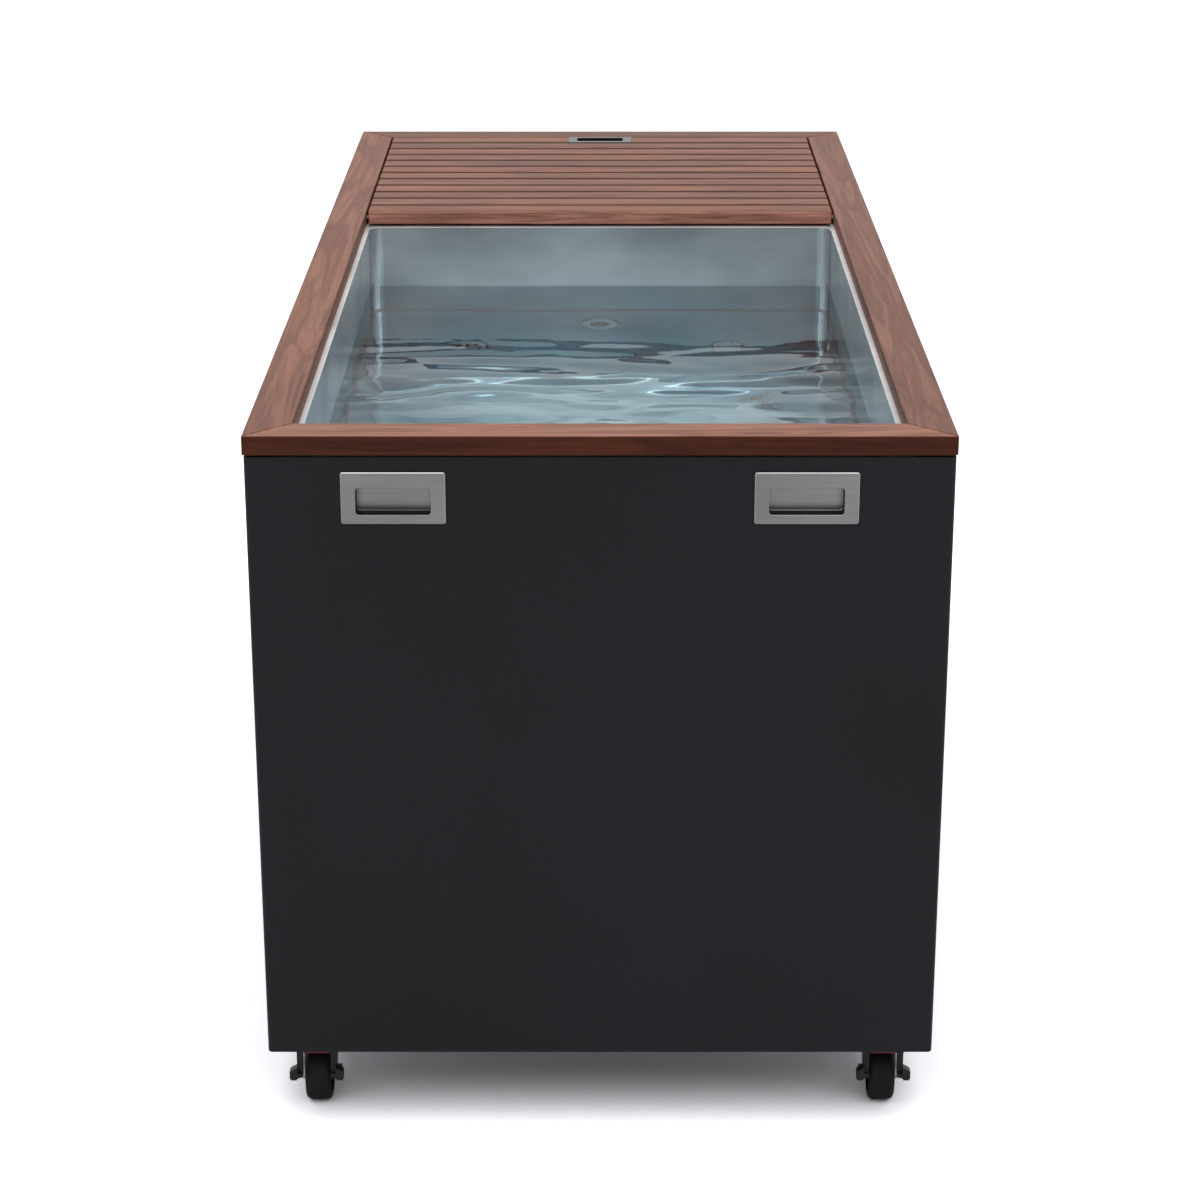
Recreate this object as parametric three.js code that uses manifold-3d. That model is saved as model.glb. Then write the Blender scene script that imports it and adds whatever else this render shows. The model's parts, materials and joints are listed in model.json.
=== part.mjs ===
import * as THREE from "three";
import { mergeVertices } from "three/addons/utils/BufferGeometryUtils.js";
import Module from "manifold-3d";

// A cold plunge tub on casters: a stainless basin in a clad body, a mitred timber top frame, and a
// slatted lid over the chiller bay. Millimetres, +Z up, origin on the floor under the tub's centre.
// The cup handles are at the front end, -Y, and the chiller is at the rear end, +Y.

// Driving dimensions
const FIT = 0.3; // gap between pieces that meet
const TUB = { width: 813, length: 1830, height: 884 };
const RAIL = { width: 53, thickness: 23, ease: 1.2, tongueInset: 4 };
const PANEL = {
  sheet: 3, sideInset: 1, cornerRadius: 6, returnDepth: 40, seam: 0.6,
  topFlange: 45, rearFlange: 75, bottomLip: 12, bottomFlange: 165,
};
const LOUVRE = { rows: 7, columns: 2, length: 136, height: 9, rowPitch: 42, columnPitch: 152 };
const CHASSIS = {
  sheet: 3, channelCount: 3, channelWidth: 80, channelFront: 150, channelRear: 190, edgeGap: 1,
};
const BASIN = {
  sheet: 2, depth: 596, reveal: 6, flange: 41.5, rearFlange: 22, cornerRadius: 20,
  floorRadius: 12, seamDrop: 228, seamHeight: 10, seamStep: 6,
};
const FOAM = { side: 28, rear: 18, floor: 50, topDrop: 8 };
const HANDLE = {
  plate: 2.7, width: 120, height: 62, plateRadius: 3, windowWidth: 86, windowHeight: 32.5,
  windowRadius: 4, windowDrop: 3.5, depth: 18, wall: 1.5, spread: 236, drop: 74,
};
const LID = {
  length: 585, thickness: 20, underGap: 3, slats: 12, slatGap: 6, sideGap: 3.5, rearGap: 3, ease: 2,
  strapWidth: 40, strapRadius: 6, strapSpread: 250, strapSetback: 24, strapRearGap: 1, pivotSetback: 9,
  pivotRise: 9,
};
const PIVOT = { radius: 3, inSlat: 30, inRail: 21.5 };
const PULL = {
  plate: 2.5, proud: 0.8, width: 107, plateRadius: 2, windowWidth: 77, windowHeight: 27,
  windowRadius: 4, depth: 15, wall: 1.5,
};
const FITTING = {
  bodyRadius: 16, bore: 10, flangeThickness: 6, nutRadius: 24, nutThickness: 10, tail: 28,
  tailRadius: 14, returnRadius: 30, returnDrop: 302, suctionRadius: 25, suctionDrop: 426,
  suctionSpread: 195, strainerHoles: 6, strainerHole: 3, strainerCircle: 14, strainerPlate: 4,
};
const CASTER = {
  sideInset: 55.5, endInset: 103, trail: 32, plateWidth: 72, plateLength: 96, plateThickness: 4,
  plateRadius: 6, raceRadius: 26, raceNeck: 20, raceHeight: 6, crownRadius: 21, crownThickness: 5,
  tyreGap: 5.6, kingpin: 6, kingpinHead: 10, kingpinHeadHeight: 2.5, boltRadius: 4.2, boltAcross: 52,
  boltAlong: 72, legPlay: 0.6, legThickness: 3, legTop: 44, legFlare: 4, bossRadius: 12, axle: 4,
  nutRadius: 8, nutLength: 6,
};
const WHEEL = {
  radius: 37.5, sides: 18, halfWidth: 16, shoulder: 4, rimRadius: 27, webHalf: 11, hubRadius: 12,
  hubHalf: 17.6,
};
const PEDAL = {
  pivotY: 8, pivotDrop: 23, pin: 3, eye: 7, arm: 3, armHeight: 11, overhang: 1.5, barDepth: 12,
  barDrop: 11, barThickness: 6, tyreGap: 1.5, legDepth: 8, legDrop: 49, wingSpan: 32, wingDepth: 16,
  wingThickness: 6, wingTip: 9,
};
const CONDENSER = {
  width: 320, height: 320, thickness: 40, rearGap: 8, x: -190, fins: 10, finGap: 14, finDepth: 12,
};
const FAN = {
  shroudDepth: 36, opening: 135, tipGap: 5, hub: 34, hubLength: 24, blades: 5, chord: 44,
  bladeThickness: 3, pitch: 28, motorRadius: 32, motorLength: 36, spokes: 3, spokeWidth: 9,
  spokeThickness: 4,
};
const COMPRESSOR = {
  x: -235, fromRear: 300, canRadius: 70, height: 190, dome: 40, baseSize: 156, baseThickness: 4,
  footRadius: 13, footHeight: 14, footInset: 20, boxSize: 44, boxHeight: 60,
};
const PUMP = {
  inletX: 60, fromBulkhead: 178, axisHeight: 70, voluteRadius: 60, voluteLength: 44, motorRadius: 48,
  motorLength: 156, portRadius: 16, portLength: 30, dischargeOffset: 40, footWidth: 90, footLength: 130,
};
const FILTER = {
  fromPump: 225, radius: 60, height: 400, collarRadius: 70, collarHeight: 34, portHeight: 225,
  portLength: 25, portRadius: 16,
};
const EXCHANGER = {
  radius: 50, capRadius: 58, capHeight: 18, height: 440, portLength: 25, outletHeight: 365,
};
const CONTROL = { width: 180, depth: 58, height: 180, x: -240, top: 120, lipDepth: 12, lipInset: 14 };
const HOSE = { radius: 15, sides: 8, lead: 6 };
const INLET = {
  x: 250, z: 300, width: 70, height: 50, bodyWidth: 48, bodyHeight: 30, bodyDepth: 34,
  socketWidth: 32, socketHeight: 20, socketDepth: 20,
};
const DRAIN = {
  x: 250, fromRearWall: 88, flangeRadius: 32, flangeThickness: 3, pipeRadius: 19, bore: 12,
  valveDrop: 29, valveRadius: 21, valveStart: 20, valveLength: 74, outletRadius: 16, outletLength: 34,
};
const LEVER = { stem: 5, stemLength: 9, fromPipe: 57, width: 16, length: 78, thickness: 4, back: 12 };
const ROUND = { hole: 6, small: 8, medium: 12, fan: 20, arc: 2, bend: 1 }; // facets of round forms

// Levels, worked down from the timber top and up from the floor
const railBottom = TUB.height - RAIL.thickness;
const rimTop = railBottom - FIT;
const rimBottom = rimTop - BASIN.sheet;
const bodyTop = rimBottom - FIT;
const basinFloor = rimTop - BASIN.depth;
const foamFloorTop = basinFloor - BASIN.sheet - FIT;
const foamBottom = foamFloorTop - FOAM.floor;
const slatBottom = railBottom + LID.underGap;
const swivelHeight = CASTER.kingpinHeadHeight + CASTER.crownThickness + CASTER.raceHeight + 2 * FIT;
const groundClearance = 2 * WHEEL.radius + CASTER.tyreGap + swivelHeight + CASTER.plateThickness + FIT;
const panBottom = groundClearance + PANEL.sheet + FIT;
const panTop = panBottom + CHASSIS.sheet;
const deckLevel = panTop + FIT; // underside of what stands on the chassis floor

// Planes in plan
const halfWidth = TUB.width / 2;
const halfLength = TUB.length / 2;
const railInnerX = halfWidth - RAIL.width;
const railInnerY = halfLength - RAIL.width;
const sideFace = halfWidth - PANEL.sideInset;
const sideInside = sideFace - PANEL.sheet;
const endFace = halfLength - HANDLE.plate - FIT;
const endInside = endFace - PANEL.sheet;
const basinHalf = railInnerX - BASIN.reveal;
const basinFront = BASIN.reveal - railInnerY;
const lidRear = railInnerY - LID.rearGap;
const lidFront = lidRear - LID.length;
const basinRear = lidFront - BASIN.reveal;
const basinLength = basinRear - basinFront;
const basinMiddle = (basinFront + basinRear) / 2;
const lowerRear = basinRear - BASIN.seamStep; // inner face of the far wall below the seam
const foamRear = basinRear + BASIN.sheet + FIT + FOAM.rear;
const bulkheadFront = foamRear + FIT;
const bulkheadRear = bulkheadFront + CHASSIS.sheet;
const lidHalf = railInnerX - LID.sideGap;
const slatWidth = (lidRear - lidFront - (LID.slats - 1) * LID.slatGap) / LID.slats;
const pivotY = lidFront + LID.pivotSetback;
const pivotZ = slatBottom + LID.pivotRise;
const tailEnd = bulkheadRear + FIT + FITTING.nutThickness + FITTING.tail;
const drainY = lowerRear - DRAIN.fromRearWall;

const wasm = await Module();
wasm.setup();

const FINISHES = {
  charcoal: { color: 0x26282c, roughness: 0.45, metalness: 0.0 },
  timber: { color: 0x8b5138, roughness: 0.5, metalness: 0.0 },
  steel: { color: 0xb8bcc0, roughness: 0.3, metalness: 1.0 },
  galvanised: { color: 0x9da2a6, roughness: 0.45, metalness: 1.0 },
  zinc: { color: 0xc3c5c6, roughness: 0.35, metalness: 1.0 },
  aluminium: { color: 0xc8cacc, roughness: 0.4, metalness: 1.0 },
  foam: { color: 0xd9cfa6, roughness: 0.95, metalness: 0.0 },
  tyre: { color: 0x161616, roughness: 0.75, metalness: 0.0 },
  blackPlastic: { color: 0x1a1a1b, roughness: 0.5, metalness: 0.0 },
  greyPlastic: { color: 0xd4d6d6, roughness: 0.45, metalness: 0.0 },
  hose: { color: 0xbfc8c8, roughness: 0.4, metalness: 0.0 },
  brass: { color: 0xb9975a, roughness: 0.35, metalness: 1.0 },
};

// Closed solids from three.js geometry

function toSolid(geometry) {
  const bare = new THREE.BufferGeometry();
  bare.setAttribute("position", geometry.getAttribute("position"));
  bare.setIndex(geometry.getIndex());
  const merged = mergeVertices(bare, 1e-3);
  const places = merged.getAttribute("position").array;
  const source = merged.getIndex().array;
  const corner = (index) => new THREE.Vector3().fromArray(places, index * 3);
  const triangles = [];
  let volume = 0;
  for (let i = 0; i < source.length; i += 3) {
    const [a, b, c] = source.slice(i, i + 3);
    if (a === b || b === c || a === c) continue;
    triangles.push([a, b, c]);
    volume += corner(a).dot(corner(b).cross(corner(c)));
  }
  const outward = volume > 0 ? triangles : triangles.map(([a, b, c]) => [a, c, b]);
  return new wasm.Manifold(new wasm.Mesh({
    numProp: 3,
    vertProperties: new Float32Array(places),
    triVerts: new Uint32Array(outward.flat()),
  }));
}

function fuse(first, ...rest) {
  return rest.reduce((sum, next) => sum.add(next), first);
}

function cut(body, ...tools) {
  return tools.reduce((left, tool) => left.subtract(tool), body);
}

function pieceOf(name, solid, finish) {
  const { vertProperties, triVerts } = solid.getMesh();
  const geometry = new THREE.BufferGeometry();
  geometry.setAttribute("position", new THREE.BufferAttribute(new Float32Array(vertProperties), 3));
  geometry.setIndex(new THREE.BufferAttribute(new Uint32Array(triVerts), 1));
  geometry.computeVertexNormals();
  const mesh = new THREE.Mesh(geometry, new THREE.MeshStandardMaterial(FINISHES[finish]));
  mesh.name = name;
  return mesh;
}

function groupAt(x, y, z, ...children) {
  const group = new THREE.Group();
  group.position.set(x, y, z);
  group.add(...children);
  return group;
}

// A box from its lowest to its highest corner
function block([x0, y0, z0], [x1, y1, z1]) {
  const box = new THREE.BoxGeometry(Math.abs(x1 - x0), Math.abs(y1 - y0), Math.abs(z1 - z0));
  return toSolid(box.translate((x0 + x1) / 2, (y0 + y1) / 2, (z0 + z1) / 2));
}

// The directions that a drawing's first, second and depth axes take
const FRAMES = {
  x: [new THREE.Vector3(0, 1, 0), new THREE.Vector3(0, 0, 1), new THREE.Vector3(1, 0, 0)],
  y: [new THREE.Vector3(0, 0, 1), new THREE.Vector3(1, 0, 0), new THREE.Vector3(0, 1, 0)],
  z: [new THREE.Vector3(1, 0, 0), new THREE.Vector3(0, 1, 0), new THREE.Vector3(0, 0, 1)],
};

// A drawing swept from one depth to another along an axis: (y, z) along x, (z, x) along y, (x, y) along z
function prism(shape, axis, from, to, options = {}) {
  const bevel = options.bevelThickness ?? 0;
  const geometry = new THREE.ExtrudeGeometry(shape, {
    depth: to - from - 2 * bevel,
    bevelEnabled: bevel > 0,
    bevelSegments: 1,
    curveSegments: ROUND.arc,
    ...options,
  });
  geometry.translate(0, 0, from + bevel);
  return toSolid(geometry.applyMatrix4(new THREE.Matrix4().makeBasis(...FRAMES[axis])));
}

// A prism with its two ends drawn in by a chamfer or a round
function easedPrism(shape, axis, from, to, size, height = size, segments = 1) {
  return prism(shape, axis, from, to, {
    bevelThickness: height, bevelSize: size, bevelOffset: -size, bevelSegments: segments,
  });
}

function outline(points) {
  return new THREE.Shape(points.map(([u, v]) => new THREE.Vector2(u, v)));
}

function roundedRectangle(u, v, width, height, radius) {
  const shape = new THREE.Shape();
  const left = u - width / 2;
  const right = u + width / 2;
  const low = v - height / 2;
  const high = v + height / 2;
  shape.moveTo(left + radius, low);
  shape.lineTo(right - radius, low);
  shape.absarc(right - radius, low + radius, radius, -Math.PI / 2, 0);
  shape.lineTo(right, high - radius);
  shape.absarc(right - radius, high - radius, radius, 0, Math.PI / 2);
  shape.lineTo(left + radius, high);
  shape.absarc(left + radius, high - radius, radius, Math.PI / 2, Math.PI);
  shape.lineTo(left, low + radius);
  shape.absarc(left + radius, low + radius, radius, Math.PI, 1.5 * Math.PI);
  return shape;
}

// A rod along an axis, its ends given on that axis and its centre line by the other two coordinates
function rod(axis, radius, from, to, centre = [0, 0], sides = ROUND.medium) {
  return turned(axis, [[0, from], [radius, from], [radius, to], [0, to]], centre, sides);
}

// A turned form: its profile is radius and distance along the axis
function turned(axis, profile, centre = [0, 0], sides = ROUND.medium, turn = 0) {
  const points = profile.map(([radius, along]) => new THREE.Vector2(radius, along));
  const geometry = new THREE.LatheGeometry(points, sides, turn);
  geometry.applyMatrix4(new THREE.Matrix4().makeBasis(FRAMES[axis][0], FRAMES[axis][2], FRAMES[axis][1]));
  const [first, second] = FRAMES[axis];
  geometry.translate(
    first.x * centre[0] + second.x * centre[1],
    first.y * centre[0] + second.y * centre[1],
    first.z * centre[0] + second.z * centre[1],
  );
  return toSolid(geometry);
}

function pipe(points, radius, steps) {
  const section = new THREE.Shape().absarc(0, 0, radius, 0, 2 * Math.PI);
  const path = new THREE.CatmullRomCurve3(points.map((p) => new THREE.Vector3(...p)));
  return toSolid(new THREE.ExtrudeGeometry(section, {
    steps, extrudePath: path, curveSegments: HOSE.sides / 2,
  }));
}

// A flush cup: a plate facing +Z with a rounded pocket behind its window
function flushCup(plan) {
  const plate = easedPrism(
    roundedRectangle(0, 0, plan.width, plan.height, plan.plateRadius),
    "z", -plan.plate, 0, plan.plate / 3,
  );
  const drop = plan.windowDrop ?? 0;
  const shell = prism(cupOutline(plan, plan.wall, -drop), "z", -plan.depth - plan.wall, -plan.plate / 2);
  const pocket = prism(cupOutline(plan, 0, -drop), "z", -plan.depth, plan.plate);
  return cut(fuse(plate, shell), pocket);
}

function cupOutline(plan, grow, v, u = 0) {
  return roundedRectangle(
    u, v, plan.windowWidth + 2 * grow, plan.windowHeight + 2 * grow, plan.windowRadius + grow,
  );
}

// Body

// The wrap-round plan of an end panel; end is -1 for the front and 1 for the rear
function endPanelPlan(end) {
  const shape = new THREE.Shape();
  const tip = endFace - PANEL.returnDepth;
  const outer = PANEL.cornerRadius;
  const inner = outer - PANEL.sheet;
  shape.moveTo(sideFace, tip);
  shape.lineTo(sideFace, endFace - outer);
  shape.absarc(sideFace - outer, endFace - outer, outer, 0, Math.PI / 2);
  shape.lineTo(outer - sideFace, endFace);
  shape.absarc(outer - sideFace, endFace - outer, outer, Math.PI / 2, Math.PI);
  shape.lineTo(-sideFace, tip);
  shape.lineTo(-sideInside, tip);
  shape.lineTo(-sideInside, endInside - inner);
  shape.absarc(inner - sideInside, endInside - inner, inner, Math.PI, Math.PI / 2, true);
  shape.lineTo(sideInside - inner, endInside);
  shape.absarc(sideInside - inner, endInside - inner, inner, Math.PI / 2, 0, true);
  shape.lineTo(sideInside, tip);
  if (end > 0) return shape;
  return outline(shape.getPoints(ROUND.arc).map((p) => [p.x, -p.y]));
}

// The inner edges of the side panels' flanges, which the end panels' flanges stay clear of
const sideFlangeEdge = sideInside - PANEL.topFlange;
const sideLipEdge = sideInside - PANEL.bottomLip;

function endPanel(end, topFlange) {
  const wrap = prism(endPanelPlan(end), "z", groundClearance, bodyTop);
  const root = end * (endInside + PANEL.sheet / 2);
  const topEdge = end * (endInside - topFlange);
  const bottomEdge = end * (endInside - PANEL.bottomFlange);
  const topHalf = sideFlangeEdge - FIT;
  const bottomHalf = sideLipEdge - FIT;
  const folds = [
    block([-topHalf, root, bodyTop - PANEL.sheet], [topHalf, topEdge, bodyTop]),
    block(
      [-bottomHalf, root, groundClearance],
      [bottomHalf, bottomEdge, groundClearance + PANEL.sheet],
    ),
  ];
  return fuse(wrap, ...folds);
}

function frontPanel() {
  const windows = [-1, 1].map((side) => prism(
    handleOpening(side), "y", -endFace - PANEL.sheet, -endInside + PANEL.sheet,
  ));
  return cut(endPanel(-1, PANEL.topFlange), ...windows);
}

// Drawn for a sweep along y, where the first axis is z and the second is x
function handleOpening(side) {
  const grow = HANDLE.wall + FIT;
  const z = TUB.height - HANDLE.drop - HANDLE.windowDrop;
  return roundedRectangle(
    z, side * HANDLE.spread, HANDLE.windowHeight + 2 * grow, HANDLE.windowWidth + 2 * grow,
    HANDLE.windowRadius + grow,
  );
}

function rearPanel() {
  const middle = deckLevel + CONDENSER.height / 2;
  const openings = [];
  for (let row = 0; row < LOUVRE.rows; row += 1) {
    for (let column = 0; column < LOUVRE.columns; column += 1) {
      const z = middle + (row - (LOUVRE.rows - 1) / 2) * LOUVRE.rowPitch;
      const x = CONDENSER.x + (column - (LOUVRE.columns - 1) / 2) * LOUVRE.columnPitch;
      openings.push(roundedRectangle(z, x, LOUVRE.height, LOUVRE.length, LOUVRE.height / 2 - 0.1));
    }
  }
  openings.push(roundedRectangle(
    INLET.z, INLET.x, INLET.bodyHeight + 2 * FIT, INLET.bodyWidth + 2 * FIT, 2,
  ));
  const tools = openings.map((shape) => prism(
    shape, "y", endInside - PANEL.sheet, endFace + PANEL.sheet, { curveSegments: ROUND.bend },
  ));
  return cut(endPanel(1, PANEL.rearFlange), ...tools);
}

// A side panel's folded section in (z, x), swept along y between the end panels' returns
function sidePanel(side) {
  const low = groundClearance;
  const section = outline([
    [low, side * sideFace],
    [bodyTop, side * sideFace],
    [bodyTop, side * sideFlangeEdge],
    [bodyTop - PANEL.sheet, side * sideFlangeEdge],
    [bodyTop - PANEL.sheet, side * sideInside],
    [low + PANEL.sheet, side * sideInside],
    [low + PANEL.sheet, side * sideLipEdge],
    [low, side * sideLipEdge],
  ]);
  const reach = endFace - PANEL.returnDepth - PANEL.seam;
  return prism(section, "y", -reach, reach);
}

// Floor pan, basin bearers and bulkhead, welded together
function chassis() {
  const floor = prism(
    roundedRectangle(0, 0, 2 * (sideInside - FIT), 2 * (endInside - FIT), PANEL.cornerRadius),
    "z", panBottom, panTop,
  );
  const flangeClear = bodyTop - PANEL.sheet - FIT;
  const low = panBottom + CHASSIS.sheet / 2;
  const wide = sideInside - CHASSIS.edgeGap;
  const narrow = sideFlangeEdge - CHASSIS.edgeGap;
  const bulkhead = prism(outline([
    [low, -wide], [flangeClear, -wide], [flangeClear, -narrow], [bodyTop, -narrow],
    [bodyTop, narrow], [flangeClear, narrow], [flangeClear, wide], [low, wide],
  ]), "y", bulkheadFront, bulkheadRear);
  const first = basinFront + CHASSIS.channelFront;
  const last = basinRear - CHASSIS.channelRear;
  const channels = [];
  for (let i = 0; i < CHASSIS.channelCount; i += 1) {
    channels.push(bearer(first + (last - first) * i / (CHASSIS.channelCount - 1)));
  }
  const ports = fittingPlaces.map(([x, z]) => rod(
    "y", FITTING.bodyRadius + FIT, bulkheadFront - CHASSIS.sheet, bulkheadRear + CHASSIS.sheet, [z, x],
  ));
  const drain = rod("z", DRAIN.pipeRadius + FIT, panBottom - FIT, panTop + FIT, [DRAIN.x, drainY]);
  return cut(fuse(floor, bulkhead, ...channels), drain, ...ports);
}

// A folded channel across the floor pan, which carries the insulated basin
function bearer(y) {
  const half = CHASSIS.channelWidth / 2;
  const top = foamBottom - FIT;
  const sheet = CHASSIS.sheet;
  const section = outline([
    [y - half, panBottom + sheet / 2],
    [y - half, top],
    [y + half, top],
    [y + half, panBottom + sheet / 2],
    [y + half - sheet, panBottom + sheet / 2],
    [y + half - sheet, top - sheet],
    [y - half + sheet, top - sheet],
    [y - half + sheet, panBottom + sheet / 2],
  ]);
  return prism(section, "x", CHASSIS.edgeGap - sideInside, sideInside - CHASSIS.edgeGap);
}

// Basin

const fittingPlaces = [
  [0, rimTop - FITTING.returnDrop],
  [-FITTING.suctionSpread, rimTop - FITTING.suctionDrop],
  [FITTING.suctionSpread, rimTop - FITTING.suctionDrop],
];

function basinPlan(grow) {
  return roundedRectangle(
    0, basinMiddle, 2 * (basinHalf + grow), basinLength + 2 * grow, BASIN.cornerRadius + grow,
  );
}

// The basin's hollow, or its outside when it is grown by the sheet: a wide upper band over a bowl
function basinForm(grow, top) {
  const seamTop = rimTop - BASIN.seamDrop;
  const seamBottom = seamTop - BASIN.seamHeight;
  const radius = BASIN.floorRadius + grow;
  const headroom = BASIN.seamHeight + BASIN.sheet;
  const upper = easedPrism(
    basinPlan(grow), "z", seamBottom - grow, top + headroom, BASIN.seamStep, BASIN.seamHeight,
  );
  const bowl = easedPrism(
    basinPlan(grow - BASIN.seamStep), "z", basinFloor - grow, seamTop + headroom, radius, radius, 3,
  );
  return fuse(upper, bowl);
}

function basin() {
  const sideEdge = railInnerX + BASIN.flange;
  const frontEdge = -railInnerY - BASIN.flange;
  const rearEdge = basinRear + BASIN.sheet + BASIN.rearFlange;
  const flange = block([-sideEdge, frontEdge, rimBottom], [sideEdge, rearEdge, rimTop]);
  const trim = block([-TUB.width, -TUB.length, rimTop], [TUB.width, TUB.length, 2 * TUB.height]);
  const shell = cut(basinForm(BASIN.sheet, rimTop), trim);
  const ports = fittingPlaces.map(([x, z]) => rod(
    "y", FITTING.bodyRadius + FIT, lowerRear - BASIN.sheet, lowerRear + 2 * BASIN.sheet, [z, x],
  ));
  const drain = rod(
    "z", DRAIN.pipeRadius + FIT, basinFloor - 2 * BASIN.sheet, basinFloor + BASIN.sheet, [DRAIN.x, drainY],
  );
  return cut(fuse(flange, shell), basinForm(0, rimTop), drain, ...ports);
}

function insulation() {
  const gap = BASIN.sheet + FIT;
  const side = basinHalf + gap + FOAM.side;
  const top = bodyTop - FOAM.topDrop;
  const jacket = block([-side, basinFront - gap - FOAM.side, foamBottom], [side, foamRear, top]);
  const hollow = prism(basinPlan(gap), "z", foamFloorTop, top + FIT);
  const ports = fittingPlaces.map(([x, z]) => rod(
    "y", FITTING.bodyRadius + FIT, lowerRear, foamRear + FIT, [z, x],
  ));
  const drain = rod("z", DRAIN.pipeRadius + FIT, foamBottom - FIT, foamFloorTop + FIT, [DRAIN.x, drainY]);
  return cut(jacket, hollow, drain, ...ports);
}

// A wall fitting: flange in the basin, threaded body, back nut and hose tail, bored through along y
function wallFitting([x, z], flangeRadius, nose) {
  const face = lowerRear - FIT;
  const front = face - FITTING.flangeThickness;
  const nutFront = bulkheadRear + FIT;
  const nutBack = nutFront + FITTING.nutThickness;
  const body = turned("y", [
    [0, front],
    [flangeRadius - FITTING.flangeThickness / 2, front],
    [flangeRadius, face - FITTING.flangeThickness / 3],
    [flangeRadius, face],
    [FITTING.bodyRadius, face],
    [FITTING.bodyRadius, nutBack],
    [FITTING.tailRadius, nutBack],
    [FITTING.tailRadius, tailEnd],
    [0, tailEnd],
  ], [z, x], ROUND.medium);
  const nut = rod("y", FITTING.nutRadius, nutFront, nutBack, [z, x], 6);
  return nose(fuse(body, nut), front, [z, x]);
}

// An open nozzle in the return fitting
function nozzle(body, front, centre) {
  const mouth = turned("y", [
    [0, front - FIT],
    [FITTING.bodyRadius, front - FIT],
    [FITTING.bore, front + FITTING.flangeThickness],
    [FITTING.bore, tailEnd + FIT],
    [0, tailEnd + FIT],
  ], centre, ROUND.medium);
  return cut(body, mouth);
}

// A ring of strainer holes over the bore of a suction fitting
function strainer(body, front, centre) {
  const bore = turned("y", [
    [0, front + FITTING.strainerPlate],
    [FITTING.strainerCircle + FITTING.strainerHole / 2, front + FITTING.strainerPlate],
    [FITTING.bore, front + 3 * FITTING.strainerPlate],
    [FITTING.bore, tailEnd + FIT],
    [0, tailEnd + FIT],
  ], centre, ROUND.medium);
  const holes = [];
  for (let i = 0; i < FITTING.strainerHoles; i += 1) {
    const angle = 2 * Math.PI * i / FITTING.strainerHoles;
    holes.push(rod(
      "y", FITTING.strainerHole, front - FIT, front + FITTING.strainerPlate + FIT,
      [
        centre[0] + FITTING.strainerCircle * Math.sin(angle),
        centre[1] + FITTING.strainerCircle * Math.cos(angle),
      ],
      ROUND.hole,
    ));
  }
  return cut(body, bore, ...holes);
}

// Timber top

// A mitred rail's plan, with the outer edge at +v and the mitres at its two ends
function railPlan(length, outer, turn) {
  const half = length / 2 - FIT / 2;
  const inner = outer - RAIL.width;
  return outline([
    [-half + RAIL.width, inner],
    [half - RAIL.width, inner],
    [half, outer],
    [-half, outer],
  ].map(turn));
}

function rail(length, outer, turn) {
  return easedPrism(railPlan(length, outer, turn), "z", railBottom, TUB.height, RAIL.ease);
}

const tongueLow = railInnerX + RAIL.tongueInset;
const tongueHigh = railInnerX + BASIN.flange;

// A side rail has a tongue that packs it up behind the basin's flange, and the lid's pivot bore
function sideRail(side) {
  const board = rail(TUB.length, halfWidth, ([u, v]) => [side * v, u]);
  const start = basinRear + BASIN.sheet + BASIN.rearFlange + FIT;
  const tongue = block(
    [side * tongueLow, start, bodyTop + FIT],
    [side * tongueHigh, railInnerY, railBottom + RAIL.ease + FIT],
  );
  const bore = rod(
    "x", PIVOT.radius + 2 * FIT, side * (railInnerX - FIT), side * (railInnerX + PIVOT.inRail + FIT),
    [pivotY, pivotZ], ROUND.medium,
  );
  return cut(fuse(board, tongue), bore);
}

function rearRail() {
  const board = rail(TUB.width, halfLength, ([u, v]) => [u, v]);
  const tongue = block(
    [FIT - sideFlangeEdge, railInnerY + RAIL.tongueInset, bodyTop + FIT],
    [sideFlangeEdge - FIT, railInnerY + BASIN.flange, railBottom + RAIL.ease + FIT],
  );
  return fuse(board, tongue);
}

// Lid, drawn about its pivot line

const lidFrom = -LID.pivotSetback;
const lidLow = -LID.pivotRise;
const lidHigh = LID.thickness - LID.pivotRise;
const slatPitch = slatWidth + LID.slatGap;

function slatBlank(start) {
  const e = LID.ease;
  const end = start + slatWidth;
  return prism(outline([
    [start + e, lidLow],
    [end - e, lidLow],
    [end, lidLow + e],
    [end, lidHigh - e],
    [end - e, lidHigh],
    [start + e, lidHigh],
    [start, lidHigh - e],
    [start, lidLow + e],
  ]), "x", -lidHalf, lidHalf);
}

const lastSlatMiddle = lidFrom + (LID.slats - 1) * slatPitch + slatWidth / 2;

function slat(index) {
  const blank = slatBlank(lidFrom + index * slatPitch);
  if (index === 0) {
    const bores = [-1, 1].map((side) => rod(
      "x", PIVOT.radius + FIT, side * (lidHalf - PIVOT.inSlat - FIT), side * (lidHalf + FIT),
    ));
    return cut(blank, ...bores);
  }
  if (index === LID.slats - 1) {
    const half = PULL.width / 2 + FIT;
    const seat = lidHigh + PULL.proud - PULL.plate - FIT;
    const rebate = block(
      [-half, lastSlatMiddle - slatWidth, seat], [half, lastSlatMiddle + slatWidth, lidHigh + FIT],
    );
    const pocket = prism(
      cupOutline(PULL, PULL.wall + FIT, lastSlatMiddle), "z", lidLow - FIT, lidHigh + FIT,
    );
    return cut(blank, rebate, pocket);
  }
  return blank;
}

function strap(side) {
  const x = side * LID.strapSpread;
  const high = lidLow - FIT;
  const low = bodyTop + FIT - pivotZ;
  const start = lidFrom + LID.strapSetback;
  const end = lidRear - LID.strapRearGap - pivotY;
  return prism(
    roundedRectangle(x, (start + end) / 2, LID.strapWidth, end - start, LID.strapRadius), "z", low, high,
    { curveSegments: ROUND.bend },
  );
}

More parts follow.
